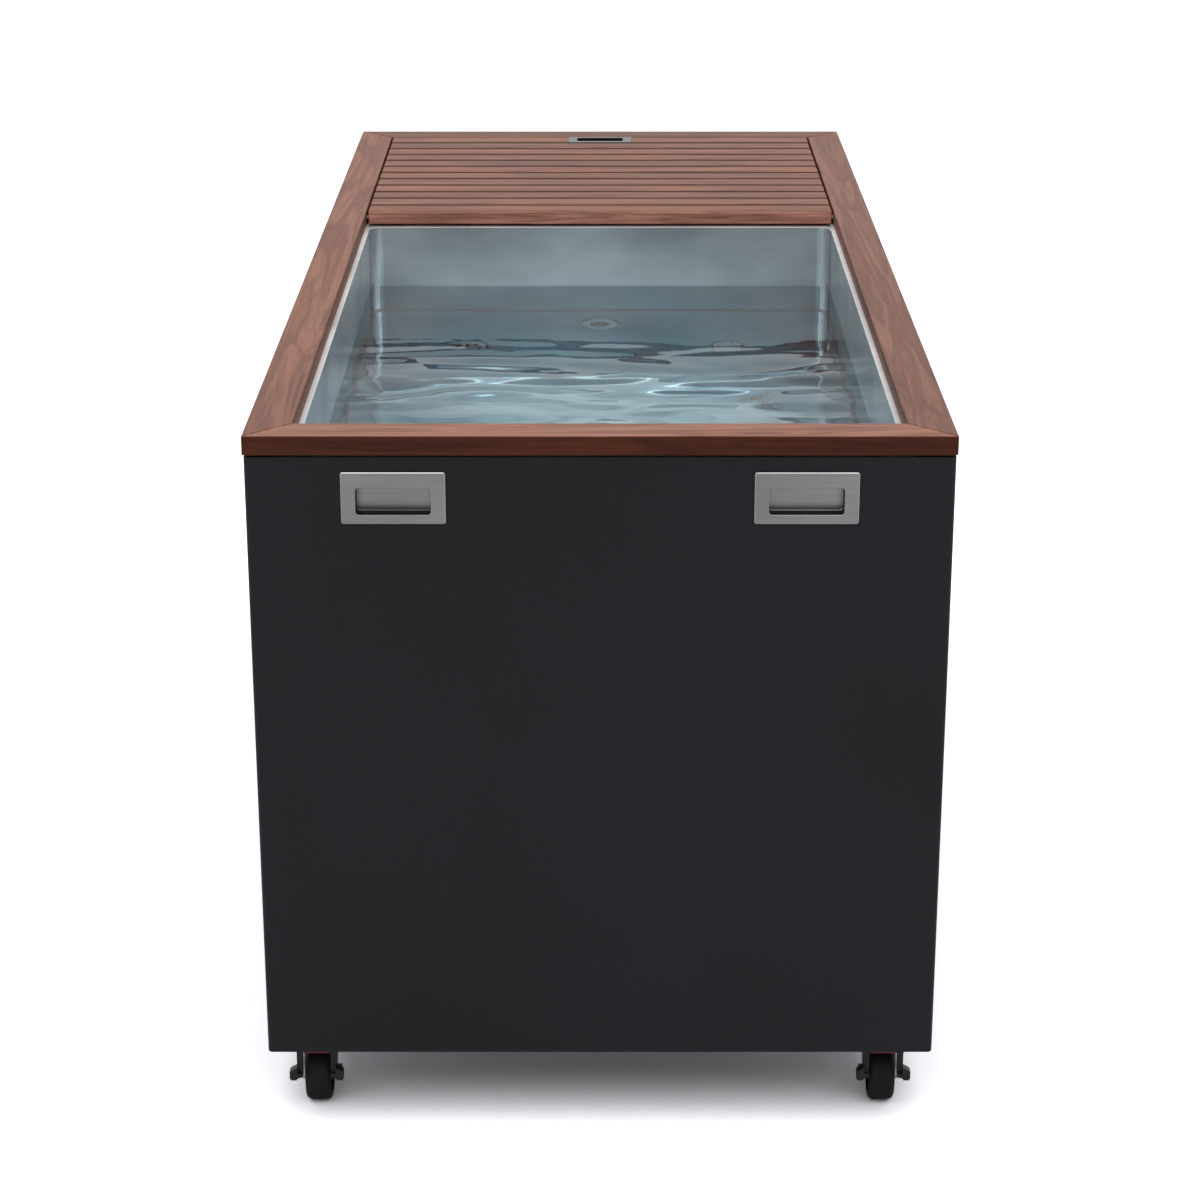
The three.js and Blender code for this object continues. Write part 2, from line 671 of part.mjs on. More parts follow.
function lid() {
  const pieces = [];
  for (let i = 0; i < LID.slats; i += 1) {
    pieces.push(pieceOf(`slat_${String(i + 1).padStart(2, "0")}`, slat(i), "timber"));
  }
  for (const [side, word] of SIDES) {
    pieces.push(pieceOf(`${word}_strap`, strap(side), "aluminium"));
    const pin = rod(
      "x", PIVOT.radius, side * (lidHalf - PIVOT.inSlat), side * (railInnerX + PIVOT.inRail), [0, 0],
      ROUND.small,
    );
    pieces.push(pieceOf(`${word}_pivot_pin`, pin, "steel"));
  }
  const pull = pieceOf("lid_pull", flushCup({ ...PULL, height: slatWidth }), "steel");
  pull.position.set(0, lastSlatMiddle, lidHigh + PULL.proud);
  return groupAt(0, pivotY, pivotZ, ...pieces, pull);
}

// Casters, drawn about their swivel axis; out is the way the wheel trails along y, -1 or 1

const SIDES = [[-1, "left"], [1, "right"]];
const axleHeight = WHEEL.radius * Math.cos(Math.PI / WHEEL.sides); // a flat of the tyre meets the floor
const plateTop = groundClearance - FIT;
const plateBottom = plateTop - CASTER.plateThickness;
const raceBottom = plateBottom - CASTER.raceHeight;
const crownTop = raceBottom - FIT;
const crownBottom = crownTop - CASTER.crownThickness;
const legGap = WHEEL.hubHalf + CASTER.legPlay;
const legOutside = legGap + CASTER.legThickness;

function casterPlate() {
  const plate = prism(
    roundedRectangle(0, 0, CASTER.plateWidth, CASTER.plateLength, CASTER.plateRadius),
    "z", plateBottom, plateTop, { curveSegments: ROUND.bend },
  );
  const headTop = crownBottom - FIT;
  const race = turned("z", [
    [0, headTop - CASTER.kingpinHeadHeight],
    [CASTER.kingpinHead, headTop - CASTER.kingpinHeadHeight],
    [CASTER.kingpinHead, headTop],
    [CASTER.kingpin, headTop],
    [CASTER.kingpin, raceBottom],
    [CASTER.raceNeck, raceBottom],
    [CASTER.raceRadius, plateBottom + 0.5],
    [0, plateBottom + 0.5],
  ]);
  const bolts = [];
  for (const x of [-1, 1]) {
    for (const y of [-1, 1]) {
      const centre = [x * CASTER.boltAcross / 2, y * CASTER.boltAlong / 2];
      bolts.push(rod("z", CASTER.boltRadius, plateBottom - 1, plateTop + 1, centre, ROUND.hole));
    }
  }
  return cut(fuse(plate, race), ...bolts);
}

const pedalPivotZ = groundClearance - PEDAL.pivotDrop;
const pedalTop = groundClearance - PEDAL.barDrop;
const pedalFoot = groundClearance - PEDAL.legDrop;

// One leg of the fork in (y, z): broad at the crown, swept out to the axle boss
function forkLeg(out) {
  const half = CASTER.legTop / 2;
  const boss = [out * CASTER.trail, axleHeight];
  const rear = Math.PI * 0.1;
  const steps = 6;
  const points = [[-out * half, crownTop], [-out * (half - CASTER.legFlare), crownBottom]];
  for (let i = 0; i <= steps; i += 1) {
    const angle = rear + (Math.PI + 2 * rear) * i / steps - Math.PI / 2 - rear;
    points.push([
      boss[0] + out * CASTER.bossRadius * Math.sin(angle),
      boss[1] - CASTER.bossRadius * Math.cos(angle),
    ]);
  }
  points.push([out * (half + CASTER.legFlare), crownBottom], [out * half, crownTop]);
  return outline(points);
}

function fork(out, braked) {
  const crown = turned("z", [
    [CASTER.kingpin + FIT, crownBottom],
    [CASTER.crownRadius, crownBottom],
    [CASTER.crownRadius, crownTop],
    [CASTER.kingpin + FIT, crownTop],
    [CASTER.kingpin + FIT, crownBottom],
  ]);
  const centre = [out * CASTER.trail, axleHeight];
  const parts = [rod("x", CASTER.axle, -legOutside, legOutside, centre, ROUND.small)];
  for (const [side] of SIDES) {
    const inside = side * legGap;
    const outside = side * legOutside;
    const low = Math.min(inside, outside);
    parts.push(prism(forkLeg(out), "x", low, low + CASTER.legThickness));
    parts.push(rod("x", CASTER.nutRadius, outside - side, outside + side * CASTER.nutLength, centre, 6));
    if (braked) {
      const pin = [out * PEDAL.pivotY, pedalPivotZ];
      parts.push(rod(
        "x", PEDAL.pin, outside - side, outside + side * (PEDAL.arm + 2 * FIT), pin, ROUND.small,
      ));
    }
  }
  return fuse(crown, ...parts);
}

function wheel() {
  const { radius, halfWidth: half, shoulder, rimRadius, webHalf, hubRadius, hubHalf } = WHEEL;
  const bore = CASTER.axle + FIT;
  const side = [
    [bore, hubHalf], [hubRadius, hubHalf], [hubRadius, webHalf], [rimRadius, webHalf], [rimRadius, half],
    [radius - shoulder, half], [radius, half - shoulder],
  ];
  const mirrored = side.map(([r, along]) => [r, -along]).reverse();
  const profile = [...side, ...mirrored, side[0]];
  return turned("x", profile, [0, 0], WHEEL.sides, Math.PI / WHEEL.sides);
}

// An inverted stirrup over the tyre: two arms on the fork's pins, a cross bar, two legs and their wings
function brakePedal(out) {
  const inside = legOutside + FIT;
  const outside = inside + PEDAL.arm;
  const front = CASTER.trail + WHEEL.radius + PEDAL.overhang;
  const legInside = WHEEL.halfWidth + PEDAL.tyreGap;
  const low = pedalTop - PEDAL.armHeight;
  const parts = [block(
    [-outside, out * (front - PEDAL.barDepth), pedalTop - PEDAL.barThickness],
    [outside, out * front, pedalTop],
  )];
  const holes = [];
  for (const [side] of SIDES) {
    const arm = outline([
      [out * (PEDAL.pivotY - PEDAL.eye), pedalPivotZ - 2 * PEDAL.pin],
      [out * (PEDAL.pivotY + PEDAL.eye), pedalPivotZ - 2 * PEDAL.pin],
      [out * (front - PEDAL.barDepth), low],
      [out * front, low],
      [out * front, pedalTop],
      [out * (PEDAL.pivotY + 12), pedalTop - 2],
      [out * (PEDAL.pivotY - PEDAL.eye), pedalPivotZ + 2 * PEDAL.pin],
    ]);
    const armFrom = Math.min(side * inside, side * outside);
    parts.push(prism(arm, "x", armFrom, armFrom + PEDAL.arm));
    parts.push(block(
      [side * legInside, out * (front - PEDAL.legDepth), pedalFoot],
      [side * outside, out * front, pedalTop],
    ));
    const wing = outline([
      [side * legInside, out * (front - PEDAL.legDepth)],
      [side * (PEDAL.wingSpan - 2), out * (front - PEDAL.legDepth / 2)],
      [side * PEDAL.wingSpan, out * (front + PEDAL.wingTip / 2)],
      [side * (PEDAL.wingSpan - 3), out * (front - PEDAL.legDepth + PEDAL.wingDepth)],
      [side * legInside, out * (front + PEDAL.wingTip / 3)],
    ]);
    parts.push(prism(wing, "z", pedalFoot - 2, pedalFoot - 2 + PEDAL.wingThickness));
    holes.push(rod(
      "x", PEDAL.pin + 2 * FIT, side * (inside - 1), side * (outside + 1),
      [out * PEDAL.pivotY, pedalPivotZ], ROUND.medium,
    ));
  }
  return cut(fuse(...parts), ...holes);
}

function caster(side, end, braked) {
  const words = `${end < 0 ? "front" : "rear"}_${side < 0 ? "left" : "right"}`;
  const tyre = pieceOf(`${words}_wheel`, wheel(), "tyre");
  tyre.position.set(0, end * CASTER.trail, axleHeight);
  const pieces = [
    pieceOf(`${words}_caster_plate`, casterPlate(), "zinc"),
    pieceOf(`${words}_fork`, fork(end, braked), "zinc"),
    tyre,
  ];
  if (braked) pieces.push(pieceOf(`${words}_brake_pedal`, brakePedal(end), "blackPlastic"));
  const x = side * (sideFace - CASTER.sideInset);
  return groupAt(x, end * (endFace - CASTER.endInset), 0, ...pieces);
}

// Chiller bay

const condenserRear = endInside - CONDENSER.rearGap;
const condenserFront = condenserRear - CONDENSER.thickness;
const shroudRear = condenserFront - FIT;
const shroudFront = shroudRear - FAN.shroudDepth;
const fanZ = deckLevel + CONDENSER.height / 2;
const motorFace = shroudRear - FAN.hubLength - 2 * FIT;
const pumpY = bulkheadRear + PUMP.fromBulkhead;
const pumpZ = deckLevel + PUMP.axisHeight;
const voluteX = PUMP.inletX + PUMP.portLength;
const dischargeX = voluteX + PUMP.voluteLength / 2;
const filterY = pumpY + FILTER.fromPump;
const unionZ = deckLevel + FILTER.portHeight;
const filterReach = FILTER.radius + FILTER.portLength;
const exchangerReach = EXCHANGER.radius + EXCHANGER.portLength;
const exchangerX = dischargeX + filterReach + FIT + exchangerReach;

// A finned coil block: fins stand out of both faces of a core
function condenser() {
  const left = CONDENSER.x - CONDENSER.width / 2;
  const pitch = CONDENSER.width / CONDENSER.fins;
  const face = (y, inward) => {
    const points = [];
    for (let i = 0; i < CONDENSER.fins; i += 1) {
      const start = left + i * pitch + (pitch - CONDENSER.finGap) / 2;
      const end = start + CONDENSER.finGap;
      const floor = y + inward * CONDENSER.finDepth;
      points.push([start, y], [start, floor], [end, floor], [end, y]);
    }
    return points;
  };
  const right = left + CONDENSER.width;
  const shape = outline([
    [left, condenserFront], ...face(condenserFront, 1), [right, condenserFront],
    [right, condenserRear], ...face(condenserRear, -1).reverse(), [left, condenserRear],
  ]);
  return prism(shape, "z", deckLevel, deckLevel + CONDENSER.height);
}

// The square duct behind the coil, with the fan motor held in its mouth on spokes
function fanShroud() {
  const half = CONDENSER.width / 2;
  const duct = block(
    [CONDENSER.x - half, shroudFront, deckLevel],
    [CONDENSER.x + half, shroudRear, deckLevel + CONDENSER.height],
  );
  const mouth = rod("y", FAN.opening, shroudFront - 1, shroudRear + 1, [fanZ, CONDENSER.x], ROUND.fan);
  const motor = rod("y", FAN.motorRadius, motorFace - FAN.motorLength, motorFace, [fanZ, CONDENSER.x]);
  const spokes = [];
  for (let i = 0; i < FAN.spokes; i += 1) {
    const bar = new THREE.BoxGeometry(FAN.opening, FAN.spokeThickness, FAN.spokeWidth);
    bar.translate(FAN.opening / 2 + FAN.motorRadius / 4, 0, 0);
    bar.rotateY(Math.PI / 2 + 2 * Math.PI * i / FAN.spokes);
    bar.translate(CONDENSER.x, shroudFront + FAN.spokeThickness / 2, fanZ);
    spokes.push(toSolid(bar));
  }
  return fuse(cut(duct, mouth), motor, ...spokes);
}

function fanRotor() {
  const rear = shroudRear - FIT;
  const front = motorFace + FIT;
  const middle = (front + rear) / 2;
  const hub = rod("y", FAN.hub, front, rear, [fanZ, CONDENSER.x]);
  const span = FAN.opening - FAN.tipGap - FAN.hub / 2;
  const blades = [];
  for (let i = 0; i < FAN.blades; i += 1) {
    const blade = new THREE.BoxGeometry(span, FAN.bladeThickness, FAN.chord);
    blade.rotateX(FAN.pitch * Math.PI / 180);
    blade.translate(FAN.hub / 2 + span / 2, 0, 0);
    blade.rotateY(2 * Math.PI * i / FAN.blades);
    blade.translate(CONDENSER.x, middle, fanZ);
    blades.push(toSolid(blade));
  }
  return fuse(hub, ...blades);
}

// A domed hermetic can on a base plate with four rubber feet, and its terminal box
function compressor() {
  const x = COMPRESSOR.x;
  const y = endInside - COMPRESSOR.fromRear;
  const baseLow = deckLevel + COMPRESSOR.footHeight;
  const baseTop = baseLow + COMPRESSOR.baseThickness;
  const top = baseTop + COMPRESSOR.height;
  const r = COMPRESSOR.canRadius;
  const can = turned("z", [
    [0, baseLow + 1], [r, baseLow + 1], [r, top - COMPRESSOR.dome], [0.92 * r, top - 0.55 * COMPRESSOR.dome],
    [0.7 * r, top - 0.2 * COMPRESSOR.dome], [0.35 * r, top - 0.03 * COMPRESSOR.dome], [0, top],
  ], [x, y], ROUND.medium);
  const base = prism(
    roundedRectangle(x, y, COMPRESSOR.baseSize, COMPRESSOR.baseSize, 14), "z", baseLow, baseTop,
  );
  const reach = COMPRESSOR.baseSize / 2 - COMPRESSOR.footInset;
  const feet = [];
  for (const u of [-reach, reach]) {
    for (const v of [-reach, reach]) {
      feet.push(rod("z", COMPRESSOR.footRadius, deckLevel, baseLow + 1, [x + u, y + v], ROUND.small));
    }
  }
  const half = COMPRESSOR.boxSize / 2;
  const terminal = block(
    [x - half, y - r - half / 2, top - COMPRESSOR.dome - COMPRESSOR.boxHeight],
    [x + half, y - r + half, top - COMPRESSOR.dome],
  );
  return fuse(base, can, terminal, ...feet);
}

// A close-coupled pump: suction port, volute, motor and foot along x, with its discharge bent to the filter
function pump() {
  const motorStart = voluteX + PUMP.voluteLength;
  const axis = [pumpY, pumpZ];
  const suction = rod("x", PUMP.portRadius, PUMP.inletX, voluteX + 1, axis);
  const volute = turned("x", [
    [0, voluteX], [PUMP.voluteRadius - 8, voluteX], [PUMP.voluteRadius, voluteX + 8],
    [PUMP.voluteRadius, motorStart - 6], [PUMP.voluteRadius - 6, motorStart], [0, motorStart],
  ], axis, ROUND.medium);
  const motorEnd = motorStart + PUMP.motorLength;
  const motor = turned("x", [
    [0, motorStart - 1], [PUMP.motorRadius, motorStart - 1], [PUMP.motorRadius, motorEnd - 12],
    [PUMP.motorRadius - 12, motorEnd], [0, motorEnd],
  ], axis, ROUND.medium);
  const foot = block(
    [motorStart + 10, pumpY - PUMP.footWidth / 2, deckLevel],
    [motorStart + 10 + PUMP.footLength, pumpY + PUMP.footWidth / 2, pumpZ - PUMP.motorRadius + 12],
  );
  const riserY = pumpY + PUMP.dischargeOffset;
  const end = filterY - filterReach - FIT;
  const riser = pipe([
    [dischargeX, riserY, pumpZ],
    [dischargeX, riserY, pumpZ + 0.6 * (unionZ - pumpZ)],
    [dischargeX, riserY + 8, unionZ - 16],
    [dischargeX, riserY + 24, unionZ],
    [dischargeX, riserY + 40, unionZ],
    [dischargeX, end, unionZ],
  ], PUMP.portRadius, 10);
  const trim = block([0, end, unionZ - 100], [2 * dischargeX, end + 100, unionZ + 100]);
  return fuse(suction, volute, motor, foot, cut(riser, trim));
}

// A cartridge filter bowl with a screwed collar and its two ports
function filterCanister() {
  const top = deckLevel + FILTER.height;
  const r = FILTER.radius;
  const bowl = turned("z", [
    [0, deckLevel], [r, deckLevel], [r, top - FILTER.collarHeight],
    [FILTER.collarRadius, top - FILTER.collarHeight], [FILTER.collarRadius, top],
    [r - 8, top + 14], [0, top + 20],
  ], [dischargeX, filterY], ROUND.medium);
  const inlet = rod("y", FILTER.portRadius, filterY - filterReach, filterY, [unionZ, dischargeX]);
  const outlet = rod("x", FILTER.portRadius, dischargeX, dischargeX + filterReach, [filterY, unionZ]);
  return fuse(bowl, inlet, outlet);
}

// A shell heat exchanger: cylinder between two flanged caps, side inlet and front outlet
function heatExchanger() {
  const top = deckLevel + EXCHANGER.height;
  const r = EXCHANGER.radius;
  const cap = EXCHANGER.capRadius;
  const shell = turned("z", [
    [0, deckLevel], [cap, deckLevel], [cap, deckLevel + EXCHANGER.capHeight],
    [r, deckLevel + EXCHANGER.capHeight], [r, top - EXCHANGER.capHeight],
    [cap, top - EXCHANGER.capHeight], [cap, top], [0, top],
  ], [exchangerX, filterY], ROUND.medium);
  const inlet = rod("x", FILTER.portRadius, exchangerX - exchangerReach, exchangerX, [filterY, unionZ]);
  const outletZ = deckLevel + EXCHANGER.outletHeight;
  const outlet = rod("y", FILTER.portRadius, filterY - exchangerReach, filterY, [outletZ, exchangerX]);
  return fuse(shell, inlet, outlet);
}

// The controller on the bulkhead, with a stepped cover
function controlBox() {
  const back = bulkheadRear + FIT;
  const middle = bodyTop - CONTROL.top - CONTROL.height / 2;
  const lip = back + CONTROL.depth - CONTROL.lipDepth;
  const base = prism(roundedRectangle(middle, CONTROL.x, CONTROL.height, CONTROL.width, 8), "y", back, lip);
  const cover = easedPrism(
    roundedRectangle(
      middle, CONTROL.x, CONTROL.height - CONTROL.lipInset, CONTROL.width - CONTROL.lipInset, 8,
    ),
    "y", lip - 5, back + CONTROL.depth, 3,
  );
  return fuse(base, cover);
}

// What lies in front of the fittings' tail ends, which the hoses butt against
function tailFace() {
  return block([-halfWidth, tailEnd - 4 * HOSE.lead, 0], [halfWidth, tailEnd + FIT, TUB.height]);
}

// Both suction fittings run down into one hose at the pump
function suctionHose() {
  const [, left, right] = fittingPlaces;
  const start = tailEnd - HOSE.lead;
  const join = [PUMP.inletX - 78, pumpY, pumpZ + 2];
  const main = pipe([
    [left[0], start, left[1]],
    [left[0], start + 56, left[1] - 3],
    [left[0] + 16, pumpY - 25, left[1] - 55],
    [left[0] + 52, pumpY - 4, (left[1] + pumpZ) / 2],
    [join[0] - 62, pumpY, pumpZ + 30],
    join,
    [PUMP.inletX + HOSE.lead, pumpY, pumpZ],
  ], HOSE.radius, 13);
  const branch = pipe([
    [right[0], start, right[1]],
    [right[0], start + 54, right[1] - 3],
    [right[0] - 30, pumpY - 28, right[1] - 50],
    [right[0] - 96, pumpY - 4, right[1] - 118],
    [join[0] + 52, pumpY, pumpZ + 68],
    join,
  ], HOSE.radius, 12);
  const room = 3 * HOSE.radius;
  const pumpFace = block(
    [PUMP.inletX - FIT, pumpY - room, pumpZ - room], [PUMP.inletX + room, pumpY + room, pumpZ + room],
  );
  return cut(fuse(main, branch), pumpFace, tailFace());
}

function returnHose() {
  const [[x, z]] = fittingPlaces;
  const outletZ = deckLevel + EXCHANGER.outletHeight;
  const outletY = filterY - exchangerReach - FIT;
  const end = tailEnd - HOSE.lead;
  const hose = pipe([
    [exchangerX, outletY + HOSE.lead, outletZ],
    [exchangerX, outletY - 46, outletZ + 3],
    [exchangerX - 20, outletY - 98, outletZ + 20],
    [exchangerX - 90, (outletY + end) / 2, (outletZ + z) / 2 + 6],
    [x + 84, end + 132, z - 6],
    [x + 20, end + 96, z],
    [x, end + 54, z],
    [x, end, z],
  ], HOSE.radius, 15);
  const outletFace = block([0, outletY, 0], [TUB.width, outletY + 2 * HOSE.lead, TUB.height]);
  return cut(hose, outletFace, tailFace());
}

// A flanged mains inlet let into the rear panel, with a plain socket recess
function powerInlet() {
  const seat = endFace + FIT;
  const flange = easedPrism(
    roundedRectangle(INLET.z, INLET.x, INLET.height, INLET.width, 5), "y", seat, halfLength, 0.8,
  );
  const body = prism(
    roundedRectangle(INLET.z, INLET.x, INLET.bodyHeight, INLET.bodyWidth, 2), "y",
    endFace - INLET.bodyDepth, seat + 1,
  );
  const socket = prism(
    roundedRectangle(INLET.z, INLET.x, INLET.socketHeight, INLET.socketWidth, 4), "y",
    halfLength - INLET.socketDepth, halfLength + 1,
  );
  return cut(fuse(flange, body), socket);
}

// Floor drain, its pipe down through the insulation and pan, and a ball valve turned to the right side
const valveZ = groundClearance - DRAIN.valveDrop;
const leverX = DRAIN.x + LEVER.fromPipe;

function drainValve() {
  const top = basinFloor + FIT + DRAIN.flangeThickness;
  const pipeRadius = DRAIN.pipeRadius;
  const down = turned("z", [
    [0, valveZ - pipeRadius], [pipeRadius - 4, valveZ - pipeRadius], [pipeRadius, valveZ - pipeRadius + 4],
    [pipeRadius, basinFloor + FIT], [DRAIN.flangeRadius, basinFloor + FIT],
    [DRAIN.flangeRadius - 2, top], [0, top],
  ], [DRAIN.x, drainY]);
  const valveEnd = DRAIN.x + DRAIN.valveStart + DRAIN.valveLength;
  const axis = [drainY, valveZ];
  const valve = turned("x", [
    [0, DRAIN.x], [DRAIN.outletRadius, DRAIN.x], [DRAIN.outletRadius, DRAIN.x + DRAIN.valveStart],
    [DRAIN.valveRadius, DRAIN.x + DRAIN.valveStart + 4], [DRAIN.valveRadius, valveEnd - 4],
    [DRAIN.outletRadius, valveEnd], [DRAIN.outletRadius, valveEnd + DRAIN.outletLength],
    [0, valveEnd + DRAIN.outletLength],
  ], axis);
  const throat = rod("z", DRAIN.bore, valveZ, top + 1, [DRAIN.x, drainY], ROUND.small);
  const mouth = rod("x", DRAIN.bore, valveEnd, valveEnd + DRAIN.outletLength + 1, axis, ROUND.small);
  return cut(fuse(down, valve), throat, mouth);
}

function drainLever() {
  const stemTop = valveZ - DRAIN.valveRadius - FIT;
  const armTop = stemTop - LEVER.stemLength;
  const stem = rod("z", LEVER.stem, armTop - 1, stemTop, [leverX, drainY], ROUND.small);
  const arm = easedPrism(
    roundedRectangle(
      leverX, drainY + (LEVER.length - LEVER.back) / 2, LEVER.width, LEVER.length + LEVER.back, 7,
    ),
    "z", armTop - LEVER.thickness, armTop, 0.8,
  );
  return fuse(stem, arm);
}

// Assembly

const [returnPlace, leftSuction, rightSuction] = fittingPlaces;
const tub = new THREE.Group();
tub.name = "cold_plunge_tub";
tub.add(
  pieceOf("front_panel", frontPanel(), "charcoal"),
  pieceOf("rear_panel", rearPanel(), "charcoal"),
  pieceOf("left_panel", sidePanel(-1), "charcoal"),
  pieceOf("right_panel", sidePanel(1), "charcoal"),
  pieceOf("chassis", chassis(), "galvanised"),
  pieceOf("basin", basin(), "steel"),
  pieceOf("basin_insulation", insulation(), "foam"),
  pieceOf("return_fitting", wallFitting(returnPlace, FITTING.returnRadius, nozzle), "steel"),
  pieceOf("left_suction_fitting", wallFitting(leftSuction, FITTING.suctionRadius, strainer), "steel"),
  pieceOf("right_suction_fitting", wallFitting(rightSuction, FITTING.suctionRadius, strainer), "steel"),
  pieceOf("front_rail", rail(TUB.width, halfLength, ([u, v]) => [u, -v]), "timber"),
  pieceOf("rear_rail", rearRail(), "timber"),
  pieceOf("left_rail", sideRail(-1), "timber"),
  pieceOf("right_rail", sideRail(1), "timber"),
  pieceOf("condenser", condenser(), "aluminium"),
  pieceOf("fan_shroud", fanShroud(), "blackPlastic"),
  pieceOf("fan_rotor", fanRotor(), "greyPlastic"),
  pieceOf("compressor", compressor(), "blackPlastic"),
  pieceOf("circulation_pump", pump(), "blackPlastic"),
  pieceOf("filter_canister", filterCanister(), "greyPlastic"),
  pieceOf("heat_exchanger", heatExchanger(), "galvanised"),
  pieceOf("control_box", controlBox(), "greyPlastic"),
  pieceOf("suction_hose", suctionHose(), "hose"),
  pieceOf("return_hose", returnHose(), "hose"),
  pieceOf("power_inlet", powerInlet(), "blackPlastic"),
  pieceOf("drain_valve", drainValve(), "brass"),
  pieceOf("drain_lever", drainLever(), "steel"),
  lid(),
);
for (const [side, word] of SIDES) {
  const handle = pieceOf(`${word}_handle`, flushCup(HANDLE), "steel");
  handle.rotation.x = Math.PI / 2;
  handle.position.set(side * HANDLE.spread, -halfLength, TUB.height - HANDLE.drop);
  tub.add(handle, caster(side, -1, true), caster(side, 1, false));
}

export default tub;
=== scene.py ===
import json
import math
import bpy
import bmesh
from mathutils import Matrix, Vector, noise

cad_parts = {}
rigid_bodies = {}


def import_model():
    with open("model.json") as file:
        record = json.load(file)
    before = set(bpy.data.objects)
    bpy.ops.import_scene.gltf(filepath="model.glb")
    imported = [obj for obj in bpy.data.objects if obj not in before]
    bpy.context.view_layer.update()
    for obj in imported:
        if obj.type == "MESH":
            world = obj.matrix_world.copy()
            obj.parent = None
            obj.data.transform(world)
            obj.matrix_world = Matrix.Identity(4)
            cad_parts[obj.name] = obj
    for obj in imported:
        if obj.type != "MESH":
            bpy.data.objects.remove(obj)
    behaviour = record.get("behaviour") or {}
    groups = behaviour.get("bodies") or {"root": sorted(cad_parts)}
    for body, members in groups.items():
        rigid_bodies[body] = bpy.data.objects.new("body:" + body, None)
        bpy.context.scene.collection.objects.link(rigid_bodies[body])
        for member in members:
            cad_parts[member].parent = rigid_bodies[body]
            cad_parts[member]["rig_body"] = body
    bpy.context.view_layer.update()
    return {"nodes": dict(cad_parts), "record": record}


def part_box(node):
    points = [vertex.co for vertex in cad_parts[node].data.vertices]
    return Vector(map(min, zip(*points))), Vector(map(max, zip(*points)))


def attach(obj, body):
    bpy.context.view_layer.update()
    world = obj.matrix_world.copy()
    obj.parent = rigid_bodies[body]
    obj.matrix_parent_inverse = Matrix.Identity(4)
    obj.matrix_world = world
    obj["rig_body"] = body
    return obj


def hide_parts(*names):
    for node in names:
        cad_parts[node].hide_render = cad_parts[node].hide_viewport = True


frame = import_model()
nodes = frame["nodes"]
slotOf = {row["node"]: row["material_slot"] for row in frame["record"]["subparts"]}
bpy.context.scene.view_settings.view_transform = "Standard"
print("frame loaded:", len(nodes), "nodes")


# camera, light and floor
studio = {
    "cameraPlace": (0.0, -4.1132, 1.8367), "cameraTilt": 70.232, "lens": 88.4, "sensor": 36,
    "sunPlace": (0.0, 0.0, 4.0), "sunTilt": 16.0, "sunStrength": 2.1, "sunAngle": 80.0,
    "skyForObject": 0.32, "skySeen": 1.0, "floorSize": 40.0,
    "floorSeen": (1.72, 1.72, 1.79), "floorInMetal": (0.9, 0.9, 0.9), "floorBounce": (0.32, 0.32, 0.32),
}


def clearSelection():
    if bpy.context.mode != "OBJECT":
        bpy.ops.object.mode_set(mode="OBJECT")
    bpy.ops.object.select_all(action="DESELECT")


clearSelection()
bpy.ops.object.camera_add(
    location=studio["cameraPlace"], rotation=(math.radians(studio["cameraTilt"]), 0, 0))
camera = bpy.context.object
camera.data.lens = studio["lens"]
camera.data.sensor_width = studio["sensor"]
bpy.context.scene.camera = camera

bpy.ops.object.light_add(
    type="SUN", location=studio["sunPlace"], rotation=(math.radians(studio["sunTilt"]), 0, 0))
sun = bpy.context.object
sun.data.energy = studio["sunStrength"]
sun.data.angle = math.radians(studio["sunAngle"])


class Value:
    # a node's output, so that shader maths reads as plain sums
    def __init__(self, finish, socket):
        self.finish = finish
        self.socket = socket

    def maths(self, operation, left, right):
        return self.finish.node("ShaderNodeMath", {"operation": operation}, {0: left, 1: right})

    def __add__(self, other):
        return self.maths("ADD", self, other)

    def __radd__(self, other):
        return self.maths("ADD", other, self)

    def __sub__(self, other):
        return self.maths("SUBTRACT", self, other)

    def __rsub__(self, other):
        return self.maths("SUBTRACT", other, self)

    def __mul__(self, other):
        return self.maths("MULTIPLY", self, other)

    def __rmul__(self, other):
        return self.maths("MULTIPLY", other, self)


